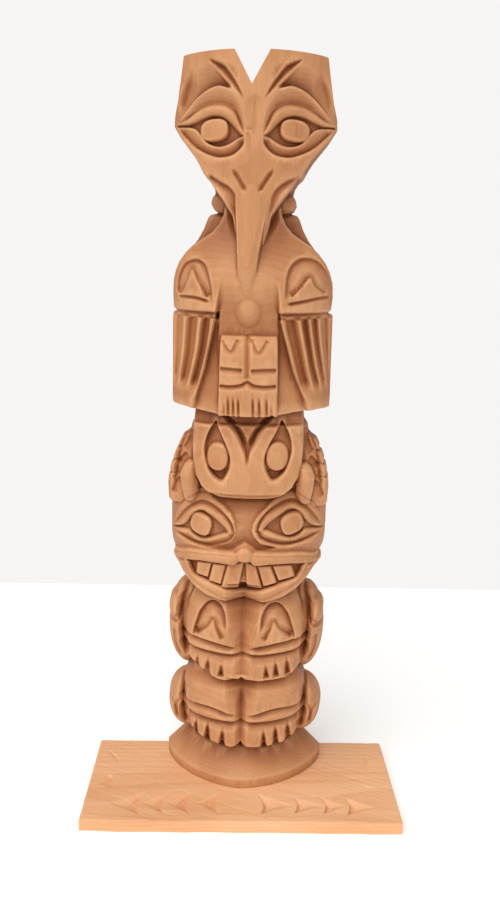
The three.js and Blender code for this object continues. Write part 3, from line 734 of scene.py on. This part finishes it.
SIDE_ROOM = 4.5
is_wood = relief >= 0
half_width = np.minimum(is_wood[:, :SHEET_COLUMNS // 2].sum(1), is_wood[:, SHEET_COLUMNS // 2:].sum(1))
half_width = half_width * (2 * SHEET_HALF / SHEET_COLUMNS) - SIDE_ROOM
near_rows = int(6 / SQUARE)
narrowest = np.array([half_width[max(0, i - near_rows):i + near_rows + 1].min() for i in range(ROWS + 1)])
kernel = np.hanning(2 * near_rows + 1)
narrowest = np.convolve(np.pad(narrowest, near_rows, mode="edge"), kernel / kernel.sum(), mode="valid")
start = narrowest[:, None] * start_share[None, :]
every_row = np.arange(ROWS + 1)[:, None]


def wood_beyond(reach):
    """How far a point at this reach on each ray lies behind the sheet. Negative is in the air."""
    place = (start + reach * sideways + SHEET_HALF) / (2 * SHEET_HALF) * SHEET_COLUMNS
    place = np.clip(place, 0, SHEET_COLUMNS - 1e-6)
    cell = place.astype(int)
    part = place - cell
    there = relief[every_row, cell] * (1 - part) + relief[every_row, cell + 1] * part
    return there - reach * forwards


RAY_STEP = 0.8
radius = np.zeros((ROWS + 1, COLUMNS + 1))
found = np.zeros(radius.shape, bool)
for reach in np.arange(52.0, 0.2, -RAY_STEP):
    hit = (wood_beyond(reach) >= 0) & ~found
    radius[hit] = reach
    found |= hit
near_end, far_end = radius.copy(), radius + RAY_STEP
for _ in range(7):
    middle_reach = (near_end + far_end) / 2
    solid = wood_beyond(middle_reach) >= 0
    near_end, far_end = np.where(solid, middle_reach, near_end), np.where(solid, far_end, middle_reach)
radius = near_end
print("rays that met wood:", round(float(found.mean()) * 100, 2),
      "percent, narrowest start", round(float(narrowest.min()), 1))

# %% [markdown]
# A carved surface is never quite even. A faint unevenness from a seeded noise
# stands for the flats that knife and sandpaper leave. The bends of the surface
# tell the finish where edges are worn pale and where hollows are darkened,
# partly as dirt and partly as painted shade in creases and recesses.

# %% Hand-worked surface
def average(field, times):
    for _ in range(times):
        field = np.pad(field, 1, mode="edge")
        field = (field[:-2] + 2 * field[1:-1] + field[2:]) / 4
        field = (field[:, :-2] + 2 * field[:, 1:-1] + field[:, 2:]) / 4
    return field


def patches(seed, size_mm, amount):
    """Smooth random swells of about the given size."""
    draw = np.random.default_rng(seed)
    down, round_ = int((POLE_TOP - POLE_FOOT) / size_mm) + 3, int(145 / size_mm) + 3
    coarse = average(draw.normal(size=(down, round_)), 1)
    rows = np.linspace(0, down - 1.001, ROWS + 1)
    cols = np.linspace(0, round_ - 1.001, COLUMNS + 1)
    i, j = rows.astype(int), cols.astype(int)
    u, v = ease(rows - i)[:, None], ease(cols - j)[None, :]
    top_row = coarse[i][:, j] * (1 - v) + coarse[i][:, j + 1] * v
    low_row = coarse[i + 1][:, j] * (1 - v) + coarse[i + 1][:, j + 1] * v
    return amount * (top_row * (1 - u) + low_row * u)


radius += patches(3, 7.0, 0.05) + patches(5, 3.2, 0.02)
radius = average(radius, 1)
spread = int(round((5.0 / SQUARE) ** 2 / 2 / 4))
wide_mean = average(radius, spread)
fine_mean = average(radius, max(2, spread // 12))
from_middle = np.hypot(start + radius * sideways, radius * forwards)
# The hollow mark darkens the finish in wide hollows, fine creases and recesses below the log's face:
# partly dirt, partly painted shade.
log_depth = np.clip((LOG_SIDE - 2.5 - from_middle) / 14, 0, 0.6)
wide_dirt_and_shade = np.clip((wide_mean - radius) / 3.2, 0, 0.8)
# Fine creases: painted shade, dark lines along the grooves.
painted_crease_shade = np.clip((fine_mean - radius) / 1.1, 0, 0.5)
hollow = np.clip(wide_dirt_and_shade + painted_crease_shade + log_depth * 0.8, 0, 1)
worn = np.clip((radius - average(radius, max(2, int(1.2 / SQUARE ** 2)))) / 0.45, 0, 1)
print("surface: hollow up to", round(float(hollow.max()), 2), "worn up to", round(float(worn.max()), 2))

# %% [markdown]
# Now the sheet becomes a mesh. It starts as Blender's own grid. Its outermost
# columns fold round to the middle of the flat back, and its first and last
# rows fold in to close the two ends, so one sheet makes one closed solid. The
# corners would fold twice and lie on each other, so they are taken away.

# %% Wrap the sheet round the log
FOLDED = 5
deselect()
bpy.ops.mesh.primitive_grid_add(x_subdivisions=COLUMNS + 2 * FOLDED, y_subdivisions=ROWS + 2 * FOLDED,
                                size=1)
pole = bpy.context.object
pole.name = "carved_pole"
points = np.zeros(len(pole.data.vertices) * 3)
pole.data.vertices.foreach_get("co", points)
points = points.reshape(-1, 3)
column = np.rint((points[:, 0] + 0.5) * (COLUMNS + 2 * FOLDED)).astype(int) - FOLDED
row = np.rint((points[:, 1] + 0.5) * (ROWS + 2 * FOLDED)).astype(int) - FOLDED
on_column = np.clip(column, 0, COLUMNS)
on_row = np.clip(row, 0, ROWS)
fold_side = 1 - np.maximum(np.maximum(-column, column - COLUMNS), 0) / FOLDED
fold_end = 1 - np.maximum(np.maximum(-row, row - ROWS), 0) / FOLDED
reach = radius[on_row, on_column]
x = (start[on_row, on_column] + reach * sideways[on_column]) * fold_side * fold_end
depth = np.where((column <= 0) | (column >= COLUMNS), 0, reach * forwards[on_column]) * fold_end
z = level[on_row, 0]
print("grid of", len(points), "points wrapped")

# %% Stand it on the board
POLE_TURN = math.radians(3.5)
POLE_ACROSS, POLE_BACK = 2.0, 36.0
placed = np.empty_like(points)
placed[:, 0] = (POLE_ACROSS + x * math.cos(POLE_TURN) - depth * math.sin(POLE_TURN)) * MM
placed[:, 1] = (POLE_BACK - x * math.sin(POLE_TURN) - depth * math.cos(POLE_TURN)) * MM
placed[:, 2] = z * MM
pole.data.vertices.foreach_set("co", placed.ravel())
pole.data.update()
double_fold = ((column < 0) | (column > COLUMNS)) & ((row < 0) | (row > ROWS))
pole.data.vertices.foreach_set("select", double_fold)
pole.data.edges.foreach_set("select", np.zeros(len(pole.data.edges), bool))
pole.data.polygons.foreach_set("select", np.zeros(len(pole.data.polygons), bool))
bpy.ops.object.mode_set(mode="EDIT")
bpy.ops.mesh.select_mode(type="VERT")
bpy.ops.mesh.delete(type="VERT")
bpy.ops.object.mode_set(mode="OBJECT")

bpy.ops.object.mode_set(mode="EDIT")
bpy.ops.mesh.select_all(action="SELECT")
bpy.ops.mesh.remove_doubles(threshold=0.00001)
bpy.ops.mesh.dissolve_degenerate(threshold=0.00001)
bpy.ops.mesh.normals_make_consistent(inside=False)
bpy.ops.object.mode_set(mode="OBJECT")
print("closed solid of", len(pole.data.polygons), "faces, volume", round(volume(pole) * 1e6), "cm3")

# %% [markdown]
# The notch in the top goes right through from front to back, so it is sawn
# out with a wedge: a three-sided prism and a Boolean modifier.

# %% Notch in the top
NOTCH_FOOT, NOTCH_HALF = 400.2, 9.2
NOTCH_ACROSS = -0.8
WEDGE_BEHIND, WEDGE_AHEAD = 30, -80
deselect()
bpy.ops.mesh.primitive_cylinder_add(vertices=3, radius=1, depth=0.12, location=(0, 0, 0),
                                    rotation=(math.radians(90), 0, 0))
wedge = bpy.context.object
corners = np.array([v.co[:] for v in wedge.data.vertices])
above = POLE_TOP + 3
half_above = NOTCH_HALF * (above - NOTCH_FOOT) / (POLE_TOP - NOTCH_FOOT)
kinds = {}
for index, corner in enumerate(corners):
    kinds.setdefault(tuple(corner[:2].round(3)), []).append(index)
targets = [(NOTCH_ACROSS, NOTCH_FOOT), (NOTCH_ACROSS + half_above, above),
           (NOTCH_ACROSS - half_above, above)]
wedge.matrix_world = Matrix.Identity(4)
for (wx, wz), members in zip(targets, kinds.values()):
    for index in members:
        back = WEDGE_BEHIND if corners[index, 2] > 0 else WEDGE_AHEAD
        px = POLE_ACROSS + wx * math.cos(POLE_TURN) + back * math.sin(POLE_TURN)
        py = POLE_BACK - wx * math.sin(POLE_TURN) + back * math.cos(POLE_TURN)
        wedge.data.vertices[index].co = Vector((px, py, wz)) * MM
bpy.ops.object.mode_set(mode="EDIT")
bpy.ops.mesh.select_all(action="SELECT")
bpy.ops.mesh.normals_make_consistent(inside=False)
bpy.ops.object.mode_set(mode="OBJECT")
print("wedge volume", round(volume(wedge) * 1e6), "cm3")

deselect()
pole.select_set(True)
bpy.context.view_layer.objects.active = pole
saw = pole.modifiers.new("saw_notch", "BOOLEAN")
saw.operation = "DIFFERENCE"
saw.object = wedge
saw.solver = "EXACT"
bpy.ops.object.modifier_apply(modifier=saw.name)
bpy.data.objects.remove(wedge)
print("notched:", len(pole.data.polygons), "faces, volume", round(volume(pole) * 1e6), "cm3")

# %% [markdown]
# The even grid has far more faces than the quiet places need. Decimate keeps
# the faces where the surface bends and thins them out where it is plain.

# %% Thin out the mesh
WANTED_TRIANGLES = 190000
triangles = sum(len(p.vertices) - 2 for p in pole.data.polygons)
if triangles > WANTED_TRIANGLES:
    thin = pole.modifiers.new("thin_out", "DECIMATE")
    thin.ratio = WANTED_TRIANGLES / triangles
    bpy.ops.object.modifier_apply(modifier=thin.name)
bpy.ops.object.shade_smooth_by_angle(angle=math.radians(38))
print("pole:", triangles, "triangles thinned to", sum(len(p.vertices) - 2 for p in pole.data.polygons))

# %% [markdown]
# The finish needs to know where the hollows, darkened with dirt and painted
# shade, and the worn edges are. Each point looks up the nearest point of the full
# grid and takes the two values from there.

# %% Mark hollows and worn edges
in_front = (row >= 0) & (row <= ROWS) & (column >= 0) & (column <= COLUMNS)
carved = placed[in_front]
marks = np.array([hollow[on_row, on_column], worn[on_row, on_column]])[:, in_front]
tree = KDTree(len(carved))
for number, spot in enumerate(carved.tolist()):
    tree.insert(spot, number)
tree.balance()
nearest = np.array([tree.find(vertex.co)[1] for vertex in pole.data.vertices])
on_back = np.array([vertex.co.y > (POLE_BACK - 4) * MM for vertex in pole.data.vertices])
# hollow holds the dirt and painted shade of creases and recesses; worn holds the edge wear.
for name, field in zip(("hollow", "worn"), marks):
    layer = pole.data.attributes.new(name, "FLOAT", "POINT")
    layer.data.foreach_set("value", np.where(on_back, 0, field[nearest]).astype(np.float32))
print("marked", len(nearest), "points")

# %% [markdown]
# ## The board
# The board is thin and wide, so its top is the sheet to carve. The chip cuts
# are three-cornered pockets: the floor slopes down from the tip to a short
# curved wall at the back, which is how a knife lifts such a chip out.

# %% Board blank
BOARD_WIDE, BOARD_DEEP = (board_high.x - board_low.x) / MM, (board_high.y - board_low.y) / MM
BOARD_THICK = board_high.z / MM
ACROSS_SQUARES, BACK_SQUARES = ((360, 180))
deselect()
bpy.ops.mesh.primitive_grid_add(x_subdivisions=ACROSS_SQUARES, y_subdivisions=BACK_SQUARES, size=1)
board = bpy.context.object
board.name = "carved_board"
flat = np.zeros(len(board.data.vertices) * 3)
board.data.vertices.foreach_get("co", flat)
flat = flat.reshape(-1, 3)
bx = flat[:, 0] * BOARD_WIDE
by = flat[:, 1] * BOARD_DEEP
lowered = np.zeros(len(bx))
print("board", round(BOARD_WIDE), "by", round(BOARD_DEEP), "by", round(BOARD_THICK), "mm")


# %% Chip cuts
CHIP_WALL, CHIP_NARROW = 0.7, 3.5
ARROW_DEPTH, CORNER_DEPTH = 3.0, 1.8


def chip(tip, top_barb, back, foot_barb, depth):
    """A three-cornered pocket whose floor falls from the tip to the curved back."""
    tip, top_barb, back, foot_barb = (np.array(p, float) for p in (tip, top_barb, back, foot_barb))
    bulge = (back - (top_barb + foot_barb) / 2) * 0.25
    rear = curve([top_barb, (top_barb + back) / 2 + bulge, back, (foot_barb + back) / 2 + bulge,
                  foot_barb], 0.7)
    front_top = curve([tip, (tip + top_barb) / 2 + (back - tip) * 0.05, top_barb], 0.7)
    front_low = curve([foot_barb, (tip + foot_barb) / 2 + (back - tip) * 0.1, tip], 0.7)
    ring = np.vstack([front_top, rear[1:], front_low[1:-1]])
    near_x = (bx > ring[:, 0].min() - 1) & (bx < ring[:, 0].max() + 1)
    spot = np.nonzero(near_x & (by > ring[:, 1].min() - 1) & (by < ring[:, 1].max() + 1))[0]
    x, y = bx[spot], by[spot]
    edge = distance_to(np.vstack([ring, ring[:1]]), x, y)
    to_rear = distance_to(rear, x, y)
    to_front = np.minimum(distance_to(front_top, x, y), distance_to(front_low, x, y))
    fall = to_front / (to_front + to_rear + 1e-6)
    mask = ease(0.5 + np.where(within_ring(ring, x, y), edge, -edge) / CHIP_WALL)
    shallow = np.clip((to_front + to_rear) / CHIP_NARROW, 0.15, 1)
    lowered[spot] = np.maximum(lowered[spot], mask * depth * (0.1 + 0.9 * fall) * shallow)


ARROWS = [((-75, -27.4), (-55.5, -14.4), (-59.9, -29.5), (-53.3, -40.5)),
          ((-57.2, -26.4), (-41.9, -15.2), (-45.7, -29.7), (-41, -39.7)),
          ((-42.3, -26.1), (-29.3, -14.4), (-31.3, -28.9), (-27.1, -39)),
          ((-25.9, -25.6), (-12.8, -15.2), (-15.3, -27.5), (-9.9, -39.2)),
          ((30.3, -27.8), (9.8, -16.6), (13, -29.1), (8.4, -37.9)),
          ((45.3, -27.9), (30.8, -19.1), (32.2, -28.7), (27.9, -37)),
          ((60.1, -27.6), (45.8, -18.8), (48.5, -28.4), (43.8, -37.8)),
          ((76.2, -29), (60.4, -19.1), (62.1, -29.3), (57.9, -38.1))]
for arrow in ARROWS:
    chip(*arrow, depth=ARROW_DEPTH)
for corner_chip in (((-74, 13.4), (-79, 35.6), (-76.5, 25), (-88.6, 38)),
                    ((-86.6, -7.5), (-76, -10.7), (-77.5, 1), (-81.5, 2.2)),
                    ((76.4, 15.7), (86.5, 37.6), (80, 26), (77.5, 36)),
                    ((70.2, -5.8), (81.2, -8), (76, -9.4), (81.7, -14))):
    chip(*corner_chip, depth=CORNER_DEPTH)
print("chips up to", round(float(lowered.max()), 1), "mm deep")

# %% Edges of the board
draw = np.random.default_rng(11)
WAVES = 28
knots_x = np.linspace(-95, 95, WAVES)
front_wave = np.interp(bx, knots_x, average(draw.normal(size=(1, WAVES)), 1)[0]) * 0.6
to_edge = np.minimum(BOARD_WIDE / 2 - np.abs(bx), BOARD_DEEP / 2 - np.abs(by))
lowered += 0.45 * np.clip(1 - to_edge / 0.8, 0, 1)
lowered += 0.12 * np.abs(np.interp(bx * 0.7 + by * 1.3, np.linspace(-130, 130, 90), draw.normal(size=90)))
pull = ease((-by - BOARD_DEEP / 2 + 6) / 6)
by = by + pull * (1.0 + np.clip(front_wave, -0.9, 0.9) + 0.5 * (bx > 20) * ease((bx - 20) / 60))
for sx, sy, size in ((1, -1, 2.2), (1, 1, 2.6), (-1, -1, 1.0), (-1, 1, 0.8)):
    over = np.clip(sx * bx - (BOARD_WIDE / 2 - size), 0, size), np.clip(sy * by - (BOARD_DEEP / 2 - size),
        0, size)
    away = np.hypot(*over)
    squeeze = np.where(away > size, size / np.maximum(away, 1e-6), 1)
    bx = bx - sx * over[0] * (1 - squeeze)
    by = by - sy * over[1] * (1 - squeeze)
flat[:, 0], flat[:, 1], flat[:, 2] = bx * MM, by * MM, (BOARD_THICK - lowered) * MM
board.data.vertices.foreach_set("co", flat.ravel())
board.data.update()
bpy.ops.object.mode_set(mode="EDIT")
bpy.ops.mesh.select_all(action="SELECT")
bpy.ops.mesh.region_to_loop()
for drop in (0.8, 2.0, 2.0, 1.0):
    bpy.ops.mesh.extrude_edges_move(TRANSFORM_OT_translate={"value": (0, 0, -drop * MM)})
bpy.ops.object.mode_set(mode="OBJECT")
for vertex in board.data.vertices:
    if vertex.select:
        vertex.co.z = 0
bpy.ops.object.mode_set(mode="EDIT")
bpy.ops.mesh.edge_face_add()
bpy.ops.mesh.select_all(action="SELECT")
bpy.ops.mesh.normals_make_consistent(inside=False)
bpy.ops.object.mode_set(mode="OBJECT")
bpy.ops.object.shade_smooth_by_angle(angle=math.radians(35))
print("board:", sum(len(p.vertices) - 2 for p in board.data.polygons), "triangles")


# %% [markdown]
# ## Finishes
# Both pieces are cedar. The pole's rings run round a pith at its flat back, so
# carved slopes show them as contour lines, and the fibres run upwards.
# The board's fibres run from end to end. Both get soft variation of tone and a
# fine bump along the fibres. The pole also gets worn edges and hollows darkened,
# partly as dirt and partly as painted shade.

# %% Helpers for materials
def new_material(name):
    material = bpy.data.materials.new(name)
    material.use_nodes = True
    return material, material.node_tree.nodes, material.node_tree.links


def node(nodes, kind, **settings):
    made = nodes.new(kind)
    for key, value in settings.items():
        if key in made.inputs:
            made.inputs[key].default_value = value
        else:
            setattr(made, key, value)
    return made


def ramp(nodes, stops):
    made = nodes.new("ShaderNodeValToRGB")
    elements = made.color_ramp.elements
    while len(elements) < len(stops):
        elements.new(0.5)
    for element, (place, colour) in zip(elements, stops):
        element.position = place
        element.color = (*colour, 1)
    return made


def mix(nodes, links, kind, factor, first, second):
    made = nodes.new("ShaderNodeMix")
    made.data_type = "RGBA"
    made.blend_type = kind
    for socket, value in ((made.inputs["Factor"], factor), (made.inputs["A"], first), (made.inputs["B"],
        second)):
        if isinstance(value, bpy.types.NodeSocket):
            links.new(value, socket)
        elif isinstance(value, (int, float)):
            socket.default_value = value
        else:
            socket.default_value = (*value, 1)
    return made.outputs["Result"]


def srgb(r, g, b):
    """A colour as a painter reads it, 0 to 255, in the renderer's own scale."""
    return tuple(((v / 255 + 0.055) / 1.055) ** 2.4 if v > 10 else v / 255 / 12.92 for v in (r, g, b))


def scaled_noise(nodes, links, place, stretch, scale, detail, roughness=0.55):
    mapping = node(nodes, "ShaderNodeMapping")
    mapping.inputs["Scale"].default_value = stretch
    links.new(place, mapping.inputs["Vector"])
    noise = node(nodes, "ShaderNodeTexNoise", Scale=scale, Detail=detail, Roughness=roughness)
    links.new(mapping.outputs["Vector"], noise.inputs["Vector"])
    return noise.outputs["Fac"]


def cedar(name, heart, turn, rings_round, ring_scale, wander, wander_scale, ring_stops,
          drift_stretch, drift_scale, drift_stops, drift_share, fibre_stretch, fibre_stops):
    """Rings round a heart line, slow drift of tone, and fibres. Gives what the finish builds on."""
    material, nodes, links = new_material(name)
    place = node(nodes, "ShaderNodeTexCoord").outputs["Object"]
    heart_line = node(nodes, "ShaderNodeMapping")
    heart_line.inputs["Location"].default_value = heart
    heart_line.inputs["Rotation"].default_value = turn
    links.new(place, heart_line.inputs["Vector"])
    rings = node(nodes, "ShaderNodeTexWave", wave_type="RINGS", rings_direction=rings_round,
                 wave_profile="SAW",
                 Scale=ring_scale, Distortion=wander, Detail=2.0)
    rings.inputs["Detail Scale"].default_value = wander_scale
    links.new(heart_line.outputs["Vector"], rings.inputs["Vector"])
    ring_colour = ramp(nodes, ring_stops)
    links.new(rings.outputs["Fac"], ring_colour.inputs["Fac"])
    drift_colour = ramp(nodes, drift_stops)
    links.new(scaled_noise(nodes, links, place, drift_stretch, drift_scale, 3), drift_colour.inputs["Fac"])
    wood = mix(nodes, links, "MIX", drift_share, ring_colour.outputs["Color"],
               drift_colour.outputs["Color"])
    fibre = scaled_noise(nodes, links, place, fibre_stretch, 1500, 3, 0.6)
    fibre_colour = ramp(nodes, fibre_stops)
    links.new(fibre, fibre_colour.inputs["Fac"])
    wood = mix(nodes, links, "MULTIPLY", 0.55, wood, fibre_colour.outputs["Color"])
    return material, place, wood, fibre


def dress(piece, material, wood, fibre, roughness, shine):
    """Puts colour, uneven shine and a fine bump along the fibres on a piece."""
    nodes, links = material.node_tree.nodes, material.node_tree.links
    surface = nodes["Principled BSDF"]
    links.new(wood, surface.inputs["Base Color"])
    rough = node(nodes, "ShaderNodeMapRange")
    rough.inputs["To Min"].default_value, rough.inputs["To Max"].default_value = roughness
    links.new(fibre, rough.inputs["Value"])
    links.new(rough.outputs["Result"], surface.inputs["Roughness"])
    surface.inputs["Specular IOR Level"].default_value = shine
    fibre_relief = node(nodes, "ShaderNodeBump", Strength=0.35, Distance=0.00025)
    links.new(fibre, fibre_relief.inputs["Height"])
    links.new(fibre_relief.outputs["Normal"], surface.inputs["Normal"])
    piece.data.materials.clear()
    piece.data.materials.append(material)


print("colour helper gives", tuple(round(v, 3) for v in srgb(200, 140, 95)))

# %% Cedar of the pole
material, place, wood, fibre = cedar(
    "carved_cedar", heart=(-0.012, -0.046, 0), turn=(math.radians(1.5), math.radians(1.0), 0),
    rings_round="Z", ring_scale=215.0, wander=1.4, wander_scale=0.12,
    ring_stops=[(0.0, srgb(190, 134, 90)), (0.6, srgb(187, 130, 86)),
                (0.88, srgb(178, 119, 76)), (1.0, srgb(172, 112, 70))],
    drift_stretch=(1, 1, 0.35), drift_scale=34, drift_share=0.62,
    drift_stops=[(0.3, srgb(170, 110, 68)), (0.5, srgb(188, 132, 88)), (0.72, srgb(203, 152, 106))],
    fibre_stretch=(1, 1, 0.035),
    fibre_stops=[(0.3, (0.80, 0.76, 0.72)), (0.55, (1, 1, 1)), (0.8, (1.06, 1.05, 1.04))])
nodes, links = material.node_tree.nodes, material.node_tree.links
# Painted shade with some dirt: the colour is multiplied darker and browner in creases, hollows and
# recesses.
dirt_and_shade_mark = node(nodes, "ShaderNodeAttribute", attribute_name="hollow").outputs["Fac"]
dirt_and_shade_ramp = ramp(nodes, [(0.0, (1.04, 1.03, 1.02)), (0.25, (0.84, 0.72, 0.62)),
                           (0.6, (0.62, 0.45, 0.33)), (1.0, (0.42, 0.26, 0.17))])
links.new(dirt_and_shade_mark, dirt_and_shade_ramp.inputs["Fac"])
wood = mix(nodes, links, "MULTIPLY", 0.9, wood, dirt_and_shade_ramp.outputs["Color"])
worn_mark = node(nodes, "ShaderNodeAttribute", attribute_name="worn").outputs["Fac"]
rub = scaled_noise(nodes, links, place, (1, 1, 0.6), 190, 3)
rub_gate = node(nodes, "ShaderNodeMath", operation="MULTIPLY")
links.new(worn_mark, rub_gate.inputs[0])
links.new(rub, rub_gate.inputs[1])
wood = mix(nodes, links, "MIX", rub_gate.outputs["Value"], wood, srgb(224, 172, 126))
dress(pole, material, wood, fibre, roughness=(0.46, 0.66), shine=0.4)
print("pole finish ready")

# %% Cedar of the board
material, place, wood, fibre = cedar(
    "board_cedar", heart=(0, 0.02, 0.09), turn=(0, math.radians(0.8), math.radians(1.2)),
    rings_round="X", ring_scale=150.0, wander=2.2, wander_scale=0.08,
    ring_stops=[(0.0, srgb(232, 178, 134)), (0.6, srgb(228, 172, 126)), (1.0, srgb(212, 150, 102))],
    drift_stretch=(0.3, 1, 1), drift_scale=40, drift_share=0.6,
    drift_stops=[(0.3, srgb(220, 160, 112)), (0.5, srgb(232, 178, 132)), (0.72, srgb(240, 190, 148))],
    fibre_stretch=(0.03, 1, 1),
    fibre_stops=[(0.3, (0.84, 0.80, 0.76)), (0.55, (1, 1, 1)), (0.8, (1.04, 1.04, 1.03))])
dress(board, material, wood, fibre, roughness=(0.5, 0.7), shine=0.35)
print("board finish ready")

# %% [markdown]
# Last, each piece is tied to the frame: it rides on the one body, and its CAD
# node is hidden, so the piece stands in its place.

# %% Tie to the frame
for piece, cad_node, finish in ((pole, "totem_pole", "cedar_pole"), (board, "base_board", "cedar_board")):
    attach(piece, "root")
    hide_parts(cad_node)
bpy.context.view_layer.update()
